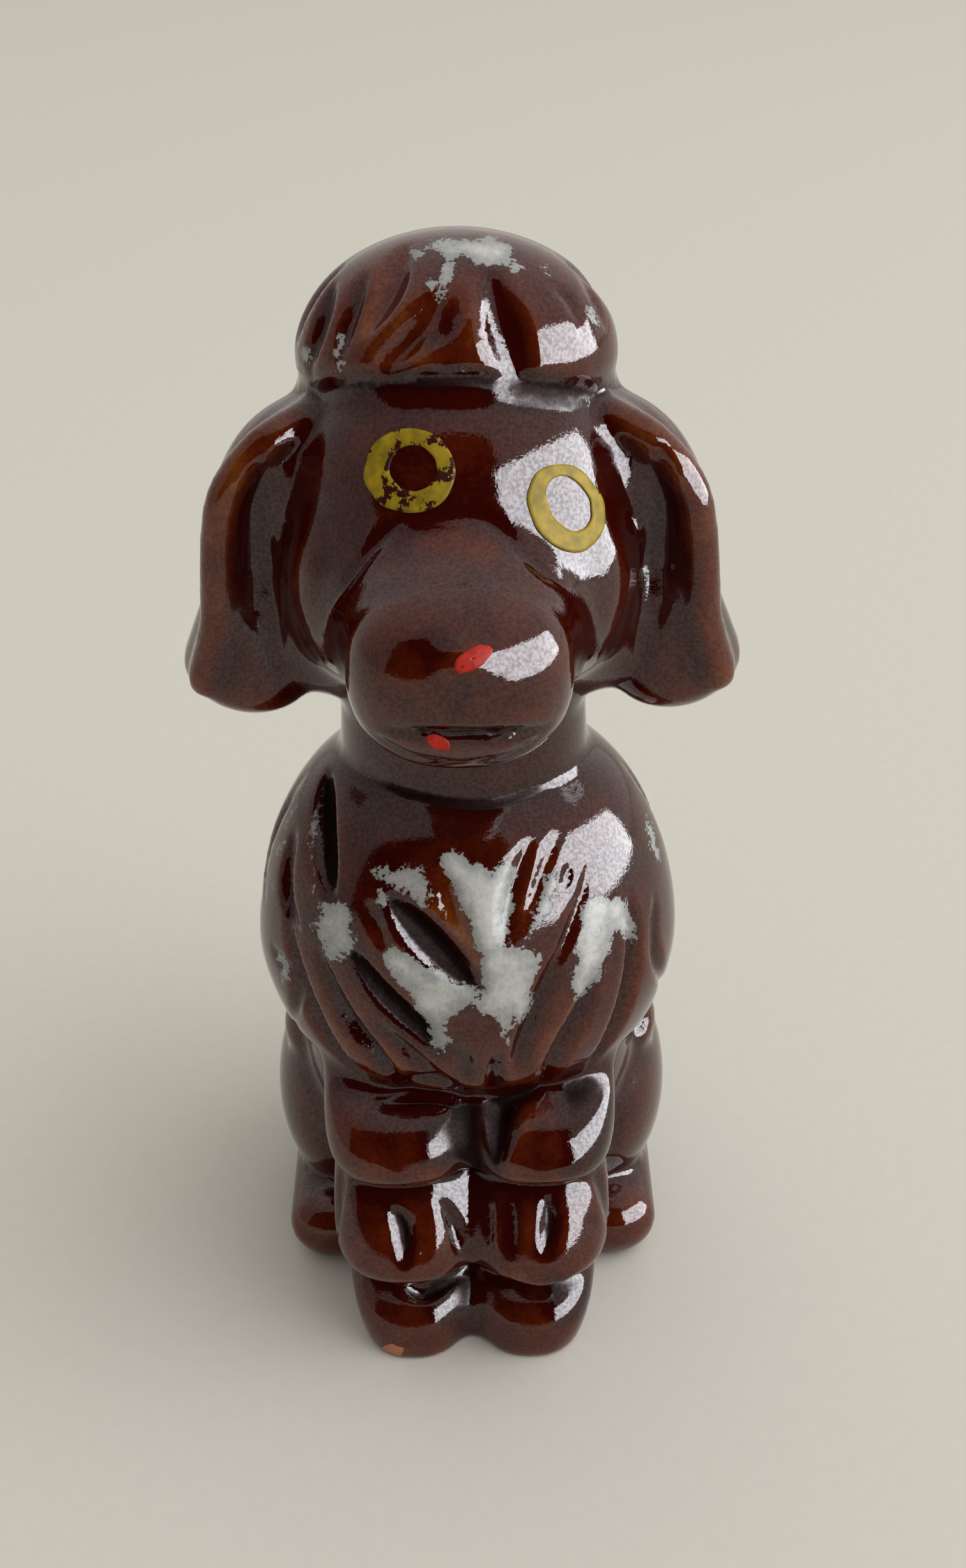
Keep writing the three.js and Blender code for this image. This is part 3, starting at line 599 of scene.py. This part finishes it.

# %% [markdown]
# The face has few strokes: the crease under the topknot, the upper edges of the muzzle, the mouth
# with its lower lip, the line under the jaw and the groove below the nose. Strokes without depth only
# tint the glaze. The crease, a strip below it and the line under the jaw are darkened as painted
# shade. The ears are hollowed on their fronts, straight back, with a broad, flat tool.

# %% Face and ears
FACE_STROKES = [
    # Painted shade: a dark, dull strip below the crease under the topknot.
    ([(745, 628), (840, 634), (940, 640)], 26, 0.0, -0.75),
    ([(650, 806), (760, 812), (850, 892), (920, 985)], 17, 0.35, 0.0),
    ([(640, 806), (590, 850), (540, 915), (505, 970)], 17, 0.35, 0.0),
    ([(640, 850), (720, 848), (790, 870)], 40, 0.0, 0.5),
    # The crease under the topknot, darkened as painted shade.
    ([(470, 612), (560, 603), (712, 597), (860, 605), (970, 622)], 20, 0.4, -0.85),
    # The line under the jaw, darkened as painted shade.
    ([(545, 1190), (620, 1234), (740, 1260), (830, 1240), (935, 1182)], 17, 0.2, -0.8),
    ([(580, 1134), (640, 1147), (700, 1151), (780, 1151), (830, 1145), (862, 1134)], 12, 0.8, -1.2),
    ([(578, 1142), (608, 1166), (650, 1186), (700, 1193)], 13, 0.3, -1.2),
    ([(858, 1142), (830, 1166), (790, 1186), (740, 1193)], 13, 0.3, -1.2),
    ([(735, 1050), (720, 1085), (705, 1130)], 14, 0.5, 0.0),
    ([(640, 1005), (685, 1012), (715, 1015)], 24, 0.0, -0.5),
]
EAR_HOLLOWS = [
    ([(400, 690), (398, 800), (404, 900), (420, 985), (430, 1040)], 34, 0.5),
    ([(1036, 705), (1036, 800), (1026, 900), (1012, 985), (1008, 1040)], 34, 0.5),
]
STRAIGHT_BACK = (0, 1, 0)
for seen in FACE_STROKES:
    stroke(*seen)
for seen in EAR_HOLLOWS:
    stroke(*seen, blunt=0.5, flat=4, into=STRAIGHT_BACK)
facing = outward()
print("strokes on the face:", len(FACE_STROKES), "and ears:", len(EAR_HOLLOWS))

# %% [markdown]
# The photograph does not show the back, so the hair goes on there as it does in front: straight locks
# down the back, round the sides of the cuffs, on the back of the topknot and on the tail. A wipe with
# a wet sponge then takes the burrs off all strokes.

# %% Strokes on the hidden sides
def bearing_point(middle, half, bearing, above):
    """A point on a round form, by degrees round from the front and degrees above its middle."""
    ring = math.cos(math.radians(above))
    turned = (ring * math.sin(math.radians(bearing)), -ring * math.cos(math.radians(bearing)),
              math.sin(math.radians(above)))
    return [m + h * t for m, h, t in zip(middle, half, turned)]


def hair(middle, half, bearings, above, half_width, depth, lean=12):
    """Locks on a round form: at some bearings, from one angle above its middle to another."""
    for bearing in bearings:
        path = []
        for s in np.linspace(0, 1, 4):
            height = above[0] + (above[1] - above[0]) * s
            point = bearing_point(middle, half, bearing + lean * (s - 0.5), height)
            path.append(skin.closest_point_on_mesh(Vector(point) * MM)[1])
        gouge(path, half_width * MM, depth * MM)


# Round forms that carry the hair: middle and half sizes
CROWN = ((0, -1.7, 74.7), (10.2, 9, 6.4))
COAT = ((0, -2, 33), (15, 13.5, 12))
CUFF_MIDDLE, CUFF_HALF = (5.45, -12.1, 12.8), (5.25, 5.9, 4.9)
WIPE_ROUNDS, WIPE_SHARE = 4, 0.35

hair(*CROWN, range(100, 271, 34), (48, -2), 1.3, 0.8)
hair(*COAT, range(95, 276, 18), (48, -35), 1.3, 0.8, lean=4)
hair(*POMPON, range(60, 301, 40), (60, -50), 0.9, 0.5)
for side in (1, -1):
    cuff_middle = (side * CUFF_MIDDLE[0], *CUFF_MIDDLE[1:])
    hair(cuff_middle, CUFF_HALF, [side * 75, side * 110], (45, -45), 0.9, 0.5)
for step in range(WIPE_ROUNDS):
    places += WIPE_SHARE * (neighbour_mean(places) - places)
facing = outward()
print("box of the skin:", [round(v / MM, 2) for v in (*places.min(0), *places.max(0))], "mm")

# %% [markdown]
# The colour of a glaze follows its thickness. It runs off ridges, where the red clay shines through
# as amber, and pools in hollows, where it is almost black. So each vertex keeps how deep it lies below
# the mean of the skin around it, at two distances, in an attribute that the material reads.

# %% How deep the glaze lies
NEAR_ROUNDS, NEAR_SHARE = 8, 4
FAR_ROUNDS, FAR_SHARE = 60, 0.3
EVEN_DEPTH, HOLLOW_SHARE, TONE_SHARE = 0.5, 0.3, 0.45


def depth_below(rounds):
    """How far each vertex lies below the skin around it, in millimetres."""
    level = places.copy()
    for step in range(rounds):
        level = neighbour_mean(level)
    return ((level - places) * facing).sum(1) / MM


def write_attribute(name, values):
    """Keeps a number for each vertex of the skin, for the material to read."""
    attribute = melted.attributes.new(name, "FLOAT", "POINT")
    attribute.data.foreach_set("value", values.astype(np.float32))


hollow = NEAR_SHARE * depth_below(NEAR_ROUNDS) + FAR_SHARE * depth_below(FAR_ROUNDS)
# Real pooling in hollows, plus the dark tones of strokes and patches, which are painted shade.
pooled = EVEN_DEPTH + HOLLOW_SHARE * hollow.clip(-1, 1) - TONE_SHARE * glaze_tone_and_painted_shade.clip(-1, 1)
for step in range(2):
    pooled = neighbour_mean(pooled[:, None])[:, 0]
write_attribute("pooled", pooled)
print("pooled glaze from", round(pooled.min(), 2), "to", round(pooled.max(), 2))

# %% [markdown]
# White paint once marked the hair of chest and topknot, and has worn to scabs and flecks. Each patch is
# an outline in pixels of the photograph with how much paint is left inside it. Every vertex that faces
# the camera keeps how far inside a patch it lies. The material breaks the edges of that with noise, and
# where little paint is left only flecks remain. One toe has lost a chip of its glaze.

# %% Worn white paint
PAINT_EDGE, PAINT_REACH, CHIP_EDGE = 20, 24, 12
BACK_OF_HEAD = 8 * MM
TOPKNOT_WHITE = [
    (1.0, [(665, 388), (690, 371), (722, 376), (765, 371), (800, 384), (802, 400), (818, 422), (800, 428),
        (788, 412), (780, 424), (760, 408), (742, 412), (722, 402), (700, 410), (690, 395)]),
    (1.0, [(694, 410), (708, 415), (706, 432), (702, 448), (687, 446), (691, 428)]),
    (1.0, [(664, 442), (676, 436), (688, 445), (676, 454)]),
    (0.9, [(675, 458), (693, 450), (698, 462), (680, 472)]),
    (1.0, [(635, 382), (645, 384), (659, 402), (648, 405)]),
    (0.5, [(740, 360), (790, 362), (830, 370), (832, 382), (780, 376), (740, 372)]),
    (1.0, [(846, 418), (856, 418), (864, 434), (850, 430)]),
    (1.0, [(913, 472), (926, 482), (940, 512), (930, 510), (916, 492)]),
    (1.0, [(468, 543), (482, 543), (490, 556), (480, 568), (466, 562)]),
    (0.9, [(455, 566), (470, 570), (474, 583), (458, 582)]),
    (0.6, [(476, 510), (492, 512), (492, 532), (480, 540), (472, 530)]),
    (0.8, [(530, 514), (542, 530), (534, 548), (542, 570), (526, 582), (516, 560), (520, 540)]),
    (0.6, [(690, 580), (715, 571), (752, 582), (720, 592)]),
    (0.6, [(805, 581), (840, 586), (858, 599), (830, 600)]),
]
CHEST_WHITE = [
    (1.0, [(688, 1342), (706, 1326), (722, 1338), (742, 1352), (768, 1368), (792, 1342), (808, 1362),
        (802, 1400), (797, 1440), (792, 1484), (822, 1488), (850, 1494), (832, 1535), (832, 1572),
        (816, 1602), (800, 1584), (796, 1640), (784, 1618), (776, 1592), (748, 1586), (756, 1548),
        (752, 1500), (736, 1452), (716, 1404), (700, 1372)]),
    (1.0, [(600, 1490), (612, 1478), (650, 1504), (700, 1529), (742, 1546), (748, 1574), (716, 1582),
        (694, 1602), (704, 1632), (692, 1652), (672, 1630), (674, 1602), (646, 1572), (640, 1550),
        (620, 1530), (604, 1508)]),
    (0.64, [(560, 1352), (600, 1346), (640, 1350), (668, 1345), (690, 1400), (672, 1432), (640, 1410),
        (610, 1400), (585, 1385)]),
    (0.9, [(585, 1383), (614, 1396), (608, 1427), (590, 1414)]),
    (0.72, [(500, 1410), (545, 1400), (560, 1440), (560, 1490), (545, 1510), (510, 1505), (485, 1450)]),
    (0.8, [(425, 1485), (452, 1490), (456, 1540), (440, 1548), (436, 1510)]),
    (0.7, [(490, 1240), (502, 1250), (498, 1400), (484, 1400), (480, 1320)]),
    (0.7, [(470, 1225), (480, 1235), (442, 1330), (430, 1400), (416, 1400), (430, 1320)]),
    (1.0, [(935, 1395), (955, 1408), (975, 1404), (990, 1438), (1000, 1470), (982, 1474), (962, 1452),
        (948, 1500), (936, 1532), (916, 1552), (901, 1566), (897, 1530), (904, 1480), (906, 1440),
        (920, 1410)]),
    (0.62, [(840, 1370), (876, 1352), (884, 1400), (870, 1440), (850, 1460), (820, 1478), (815, 1450),
        (835, 1410)]),
    (0.9, [(1008, 1270), (1020, 1280), (1036, 1345), (1026, 1345), (1012, 1300)]),
]

CHIP = [(596, 2110), (612, 2103), (634, 2110), (628, 2122), (604, 2122)]

shown_at = pixels_of(places)
in_view = faces_camera() & (places[:, 1] < BACK_OF_HEAD)


def inside_patch(outline, pixels, edge):
    """Goes from 0 to 1 across the edge of a patch, which is so many pixels to either side."""
    return (0.5 + depth_inside(outline, pixels) / (2 * edge)).clip(0, 1)


white = np.zeros(len(places))
for left_over, outline in TOPKNOT_WHITE + CHEST_WHITE:
    corners = np.array(outline)
    lowest, highest = corners.min(0) - PAINT_REACH, corners.max(0) + PAINT_REACH
    near = in_view & np.all((shown_at > lowest) & (shown_at < highest), axis=1)
    cover = inside_patch(outline, shown_at[near], PAINT_EDGE)
    white[near] = np.maximum(white[near], left_over * cover)
bare = inside_patch(CHIP, shown_at, CHIP_EDGE) * in_view
write_attribute("white", white)
write_attribute("glazed", 1 - bare)
print("vertices under paint:", int((white > 0.4).sum()), "and bare:", int((bare > 0.4).sum()))

# %% [markdown]
# The dog is hollow. Liquid clay was poured into a plaster mould, set where it touched the plaster, and
# the rest ran out through a hole in the base. So the hollow follows the outside of the body at the
# thickness of the wall. It is cut out last, with the drain hole, and its clay stays bare.

# %% Hollow and drain hole
WALL = 3.2
FLOOR = 4.0
HOLLOW_FLOOR = (0, 2.85, FLOOR, 8.5, 9.8)
LOWEST_SECTION, HIGHEST_SECTION = 8, 45
HOLLOW = [HOLLOW_FLOOR] + [
    (x, y, z, half_width - WALL, half_depth - WALL)
    for x, y, z, half_width, half_depth in TRUNK if LOWEST_SECTION <= z < HIGHEST_SECTION]
DRAIN_BACK, DRAIN_HALF = 0.5 * MM, 5 * MM

clay = bmesh.new()
add_roll(HOLLOW, X_AXIS, level=True)
drain = bmesh.new()
bmesh.ops.create_cone(drain, cap_ends=True, segments=SIDES, radius1=DRAIN_HALF, radius2=DRAIN_HALF,
                      depth=4 * FLOOR * MM, matrix=Matrix.Translation((0, DRAIN_BACK, 0)))
cutters = []
for name, form in (("hollow", clay), ("drain", drain)):
    cutter = add_object(name, mesh_of(form, name))
    cut = skin.modifiers.new(name, "BOOLEAN")
    cut.operation = "DIFFERENCE"
    cut.solver = "MANIFOLD"
    cut.object = cutter
    cutters.append(cutter)
cast = apply_modifiers()
for cutter in cutters:
    bpy.data.objects.remove(cutter)
triangles = sum(len(polygon.vertices) - 2 for polygon in cast.polygons)
print("cast skin:", len(cast.vertices), "vertices and", triangles, "triangles")

# %% [markdown]
# A node tree is long to write by hand, so a few helpers make the nodes that the finishes share: noise
# on Object coordinates, a smooth step, a colour ramp, a mix.

# %% Helpers for materials
def feed(tree, node, inputs):
    """Gives a node its inputs, each a number, a colour or another node's output."""
    for key, value in inputs.items():
        if isinstance(value, bpy.types.NodeSocket):
            tree.links.new(value, node.inputs[key])
        elif isinstance(value, tuple):
            node.inputs[key].default_value = (*value, 1)
        else:
            node.inputs[key].default_value = value


def smooth_step(tree, value, low, high, first=0.0, last=1.0):
    """Runs smoothly from first to last while the value goes from low to high."""
    node = tree.nodes.new("ShaderNodeMapRange")
    node.interpolation_type = "SMOOTHSTEP"
    feed(tree, node, {"Value": value, "From Min": low, "From Max": high, "To Min": first, "To Max": last})
    return node.outputs["Result"]


class Finish:
    """A material under construction, with a Principled shader at its end."""

    def __init__(self, name):
        self.material = bpy.data.materials.new(name)
        self.material.use_nodes = True
        self.tree = self.material.node_tree
        self.place = self.tree.nodes.new("ShaderNodeTexCoord").outputs["Object"]

    def set(self, inputs):
        """Gives the shader some of its inputs."""
        feed(self.tree, self.tree.nodes["Principled BSDF"], inputs)

    def attribute(self, name):
        node = self.tree.nodes.new("ShaderNodeAttribute")
        node.attribute_name = name
        return node.outputs["Fac"]

    def noise(self, grain, detail=3.0, roughness=0.5):
        """Noise whose grains are about so many millimetres across."""
        node = self.tree.nodes.new("ShaderNodeTexNoise")
        feed(self.tree, node, {"Vector": self.place, "Scale": 1 / (grain * MM), "Detail": detail,
                               "Roughness": roughness})
        return node.outputs["Fac"]

    def height(self):
        """How high a place lies above the table."""
        node = self.tree.nodes.new("ShaderNodeSeparateXYZ")
        feed(self.tree, node, {"Vector": self.place})
        return node.outputs["Z"]

    def math(self, operation, first, second):
        node = self.tree.nodes.new("ShaderNodeMath")
        node.operation = operation
        feed(self.tree, node, {0: first, 1: second})
        return node.outputs[0]

    def step(self, *numbers):
        return smooth_step(self.tree, *numbers)

    def ramp(self, value, stops):
        """Runs through colours. A stop is a place from 0 to 1 and its colour."""
        node = self.tree.nodes.new("ShaderNodeValToRGB")
        for i, (place, colour) in enumerate(stops):
            stop = node.color_ramp.elements[i] if i < 2 else node.color_ramp.elements.new(place)
            stop.position = place
            stop.color = (*colour, 1)
        feed(self.tree, node, {"Fac": value})
        return node.outputs["Color"]

    def mix(self, factor, first, second):
        """Mixes two colours, each a number triple or another node's output."""
        node = self.tree.nodes.new("ShaderNodeMix")
        node.data_type = "RGBA"
        feed(self.tree, node, {"Factor": factor, 6: first, 7: second})
        return node.outputs[2]

    def bump(self, height, distance):
        """Lifts the surface where a height is large. The distance is in millimetres."""
        node = self.tree.nodes.new("ShaderNodeBump")
        feed(self.tree, node, {"Strength": 1.0, "Distance": distance * MM, "Height": height})
        self.set({"Normal": node.outputs["Normal"]})


print("helpers:", ", ".join(name for name in vars(Finish) if not name.startswith("_")))

# %% [markdown]
# Glaze, white paint and bare clay are one material, because they share one skin. The glaze runs from
# amber through red brown to almost black with its depth, unsettled by clouds and specks, and that
# black also carries the painted shade of strokes and patches. It is glossy, with a fine mottle in its
# shine. Paint, bare clay and the dirt where the glaze is deepest are matt. The soles were wiped free
# of glaze before the firing.

# %% Glaze over red clay
# Near black: pooled glaze, and painted shade in creases, gouges and gaps.
POOLED_GLAZE_AND_PAINTED_SHADE = (0.006, 0.0008, 0.0005)
GLAZE_BODY = (0.032, 0.0018, 0.0006)
GLAZE_WARM = (0.085, 0.011, 0.002)
GLAZE_AMBER = (0.19, 0.058, 0.009)
WHITE_PAINT = (0.55, 0.56, 0.53)
GREY_PAINT = (0.27, 0.28, 0.27)
RED_CLAY = (0.42, 0.15, 0.06)
GLAZE_IOR = 1.55
GLAZE_ROUGHNESS, MATT_ROUGHNESS = 0.05, 0.5
GLAZE_SHINE, DIRTY_SHINE = 0.5, 0.06
SOLE_GLAZED, SOLE_BARE = 0.2 * MM, 0.12 * MM


def glaze_finish():
    """Glaze by its depth, under worn white paint, with bare clay at the chip and the soles."""
    finish = Finish("redware_glaze")
    clouds = finish.math("MULTIPLY", finish.noise(2.2, 5), 0.34)
    specks = finish.math("MULTIPLY", finish.noise(0.35, 3), 0.2)
    depth = finish.math("ADD", finish.attribute("pooled"), finish.math("ADD", clouds, specks))
    depth = finish.math("SUBTRACT", depth, 0.27)
    # The black end of this ramp is pooled glaze and also painted shade.
    colour = finish.ramp(depth, [(0.05, GLAZE_AMBER), (0.95, POOLED_GLAZE_AND_PAINTED_SHADE), (0.28, GLAZE_WARM),
                                 (0.48, GLAZE_BODY), (0.62, GLAZE_BODY)])
    ragged = finish.math("MULTIPLY", finish.noise(1.2, 4), 0.7)
    flaky = finish.math("MULTIPLY", finish.noise(0.3, 6, 0.7), 0.6)
    cover = finish.math("ADD", finish.attribute("white"), finish.math("ADD", ragged, flaky))
    cover = finish.math("SUBTRACT", cover, 0.65)
    painted = finish.step(cover, 0.48, 0.52)
    thick = finish.math("ADD", cover, finish.math("MULTIPLY", finish.noise(1.5, 5), 0.8))
    paint = finish.mix(finish.step(thick, 0.9, 1.6), GREY_PAINT, WHITE_PAINT)
    colour = finish.mix(painted, colour, paint)
    rough_edge = finish.math("MULTIPLY", finish.noise(0.5, 4), 0.3)
    chip = finish.step(finish.math("SUBTRACT", rough_edge, finish.attribute("glazed")), -0.4, -0.32)
    sole = finish.step(finish.height(), SOLE_GLAZED, SOLE_BARE)
    chipped = finish.math("MAXIMUM", chip, sole)
    colour = finish.mix(chipped, colour, RED_CLAY)
    dirty = finish.step(finish.attribute("pooled"), 0.72, 0.92)
    matt = finish.math("MAXIMUM", finish.math("MAXIMUM", painted, chipped), dirty)
    roughness = finish.step(matt, 0.0, 1.0, GLAZE_ROUGHNESS, MATT_ROUGHNESS)
    shine = finish.step(dirty, 0.0, 1.0, GLAZE_SHINE, DIRTY_SHINE)
    mottle = finish.step(finish.noise(0.22, 3), 0.35, 0.65, 0.66, 1.1)
    finish.set({"Base Color": colour, "Roughness": roughness, "IOR": GLAZE_IOR,
                "Specular IOR Level": finish.math("MULTIPLY", shine, mottle)})
    relief = finish.math("ADD", finish.math("MULTIPLY", finish.noise(0.22, 2), 0.35),
                         finish.math("MULTIPLY", painted, 1.5))
    finish.bump(relief, 0.02)
    return finish.material


cast.materials.clear()
cast.materials.append(glaze_finish())
cast.shade_smooth()
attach(skin, "root")
GLAZED_PIECES = ["torso", "tail", "head", "topknot", "left_ear", "right_ear", "left_foreleg",
                 "right_foreleg", "left_hind_leg", "right_hind_leg"]
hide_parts(*GLAZED_PIECES)
print("glazed skin stands for", len(GLAZED_PIECES), "castings")

# %% [markdown]
# Eyes, nose and mouth are dabs of thick paint on the glaze. A dab starts as circles in the plane of
# the photograph, bridged into a disc or a ring. Its vertices are then thrown on the skin along the
# lines of sight, lifted by the thickness of the paint, and the sheet is made solid.

# %% Dabs of paint
PAINT_LIFT = 0.09 * MM
PAINT_THICKNESS = 1.5 * PAINT_LIFT
DAB_SIDES = 72
DAB_RINGS = 6


def oval(angle, middle, half, tilt, wobble, seed):
    """A point on a hand-drawn oval, in pixels. The tilt is in degrees, clockwise."""
    shaky = 1 + wobble * noise.noise(Vector((2 * math.cos(angle), 2 * math.sin(angle), seed)))
    u = half[0] * shaky * math.cos(angle)
    v = half[1] * shaky * math.sin(angle)
    c, s = math.cos(math.radians(tilt)), math.sin(math.radians(tilt))
    return Vector((middle[0] + u * c - v * s, middle[1] + u * s + v * c, 0))


def dab(name, outer, inner, seed, wobble=0.12):
    """A dab between two ovals, each a middle, half sizes and a tilt."""
    sheet = bmesh.new()
    rings = []
    for step in range(DAB_RINGS + 1):
        share = step / DAB_RINGS
        ring = bmesh.ops.create_circle(sheet, segments=DAB_SIDES, radius=1)["verts"]
        for vert in ring:
            angle = math.atan2(vert.co.y, vert.co.x)
            rim = oval(angle, *outer, wobble, seed)
            vert.co = oval(angle, *inner, wobble, seed + 5).lerp(rim, share)
        rings.append({edge for vert in ring for edge in vert.link_edges})
    for ring, following in zip(rings, rings[1:]):
        bmesh.ops.bridge_loops(sheet, edges=list(ring | following))
    for vert in sheet.verts:
        hit, normal = skin.ray_cast(eye_point, line_of_sight(vert.co))[1:3]
        vert.co = hit + normal * PAINT_LIFT
    bmesh.ops.recalc_face_normals(sheet, faces=sheet.faces[:])
    if sum(face.normal.dot(back) for face in sheet.faces) < 0:
        bmesh.ops.reverse_faces(sheet, faces=sheet.faces[:])
    bmesh.ops.solidify(sheet, geom=sheet.faces[:], thickness=PAINT_THICKNESS)
    bmesh.ops.recalc_face_normals(sheet, faces=sheet.faces[:])
    piece = add_object(name, mesh_of(sheet, name))
    piece.data.shade_smooth()
    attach(piece, "root")
    return piece


def paint_finish(name, colour, worn):
    """Brushed paint that shows its strokes and, where worn, the glaze under it."""
    finish = Finish(name)
    streaks = finish.step(finish.noise(0.9, 5), 0.3, 0.7)
    brushed = finish.mix(streaks, colour, tuple(0.55 * c for c in colour))
    chips = finish.step(finish.noise(1.2, 6, 0.6), 0.66 - worn, 0.69 - worn)
    colour = finish.mix(chips, brushed, GLAZE_BODY)
    finish.set({"Base Color": colour, "Roughness": 0.5, "Specular IOR Level": 0.12})
    finish.bump(finish.noise(0.25, 2), 0.02)
    return finish.material


print("a dab has", DAB_RINGS + 1, "rings of", DAB_SIDES, "points")

# %% [markdown]
# The eyes are rings, brushed round in one go, and the one on the left of the photograph is browner and
# chipped. Nose and mouth have a touch of red each. A dab is given by an outer and an inner oval.

# %% Eyes, nose and mouth
MUSTARD = (0.36, 0.25, 0.011)
YELLOW = (0.44, 0.32, 0.022)
RED = (0.58, 0.03, 0.015)

right_eye = dab("right_eye_paint", ((642, 737), (71, 66), 0), ((647, 733), (37, 36), 0), 1, 0.05)
left_eye = dab("left_eye_paint", ((886, 795), (72, 56), 62), ((890, 788), (46, 32), 60), 2, 0.05)
nose_paint = dab("nose_paint", ((740, 1031), (33, 15), -30), ((740, 1031), (1, 1), 0), 3)
mouth_paint = dab("mouth_paint", ((686, 1161), (20, 10), 25), ((686, 1161), (1, 1), 0), 4)
worn_yellow = paint_finish("worn_yellow_paint", MUSTARD, 0.1)
yellow = paint_finish("yellow_paint", YELLOW, 0.02)
red = paint_finish("red_paint", RED, 0.0)
for piece, finish, slot, node in (
    (right_eye, worn_yellow, "yellow_paint", "right_eye_ring"),
    (left_eye, yellow, "yellow_paint", "left_eye_ring"),
    (nose_paint, red, "red_paint", "nose_dab"),
    (mouth_paint, red, "red_paint", "mouth_dab"),
):
    piece.data.materials.append(finish)
    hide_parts(node)
print("dabs of paint:", right_eye.name, left_eye.name, nose_paint.name, mouth_paint.name)

# %% [markdown]
# The dog stands on a pale sheet of paper. A glossy glaze shows its surroundings more than its colour,
# so a dark card, which shows in reflections only, stands behind the camera. What faces the camera then
# shows the deep red of the glaze.

# %% Paper and dark card
PAPER = (0.66, 0.65, 0.58)
PAPER_CORNERS = [(-3, -3, 0), (3, -3, 0), (3, 3, 0), (-3, 3, 0)]
DARK_CARD = (0.01, 0.008, 0.008)
CARD_CORNERS = [(-0.9, -0.5, 0.03), (0.32, -0.5, 0.03), (0.32, -0.5, 0.85), (-0.9, -0.5, 0.85)]
FIBRE_SHADE = 0.98


def stage_sheet(name, corners, colour):
    """A flat sheet with faint fibres that belongs to the studio."""
    sheet = bmesh.new()
    sheet.faces.new([sheet.verts.new(Vector(corner)) for corner in corners])
    piece = add_object(name, mesh_of(sheet, name))
    finish = Finish(name)
    fibres = finish.step(finish.noise(1.2, 5), 0.3, 0.7)
    mottled = finish.mix(fibres, colour, tuple(FIBRE_SHADE * c for c in colour))
    finish.set({"Base Color": mottled, "Roughness": 0.9, "Specular IOR Level": 0.1})
    piece.data.materials.append(finish.material)
    return piece


paper = stage_sheet("paper", PAPER_CORNERS, PAPER)
card = stage_sheet("dark_card", CARD_CORNERS, DARK_CARD)
card.visible_camera = False
card.visible_diffuse = False
card.visible_shadow = False
print("studio:", paper.name, "and", card.name)

# %% [markdown]
# The room gives soft light from all round, brighter behind on the right. Two lamps do the work of the
# window in the photograph. A large softbox, high on the right, lights the paper and casts the shadow,
# but does not show in the glaze. A low, broad lamp shows in the glaze only, as bright patches round the
# left eye, on the nose and on the chest.

# %% Light
ROOM_COLOUR = (1.0, 0.95, 0.9)
BRIGHT_SIDE = (0.6, 0.65, 0.45)
ROOM_SHADES = (-0.6, 0.9, 0.38, 0.9)
LAMP_COLOUR = (0.95, 0.95, 1.0)

world = bpy.data.worlds.new("soft_room")
world.use_nodes = True
room = world.node_tree
direction = room.nodes.new("ShaderNodeTexCoord").outputs["Generated"]
towards_light = room.nodes.new("ShaderNodeVectorMath")
towards_light.operation = "DOT_PRODUCT"
feed(room, towards_light, {0: direction, 1: Vector(BRIGHT_SIDE).normalized()})
shade = smooth_step(room, towards_light.outputs["Value"], *ROOM_SHADES)
feed(room, room.nodes["Background"], {"Color": ROOM_COLOUR, "Strength": shade})
bpy.context.scene.world = world


def box_lamp(name, middle, bearing, above, size, energy):
    """A flat lamp that stands off at a bearing from the front and an angle above, and faces back."""
    data = bpy.data.lights.new(name, "AREA")
    data.shape = "RECTANGLE"
    data.size, data.size_y = size
    data.energy = energy
    data.color = LAMP_COLOUR
    lamp = add_object(name, data)
    turned = Vector(bearing_point((0, 0, 0), (1, 1, 1), bearing, above))
    facing_back = turned.to_track_quat("Z", "Y").to_matrix().to_4x4()
    lamp.matrix_world = Matrix.Translation(middle) @ facing_back
    return lamp


softbox = box_lamp("softbox", (0.81, -0.25, 0.85), 73, 45, (1.2, 1.2), 7.7)
softbox.visible_glossy = False
gleam = box_lamp("gleam", (0.453, -0.051, 0.17), 50, 0, (0.81, 0.3), 8.5)
gleam.visible_diffuse = False
bpy.context.scene.view_settings.view_transform = "Standard"
print("lamps:", softbox.name, softbox.data.energy, "W and", gleam.name, gleam.data.energy, "W")

# %% [markdown]
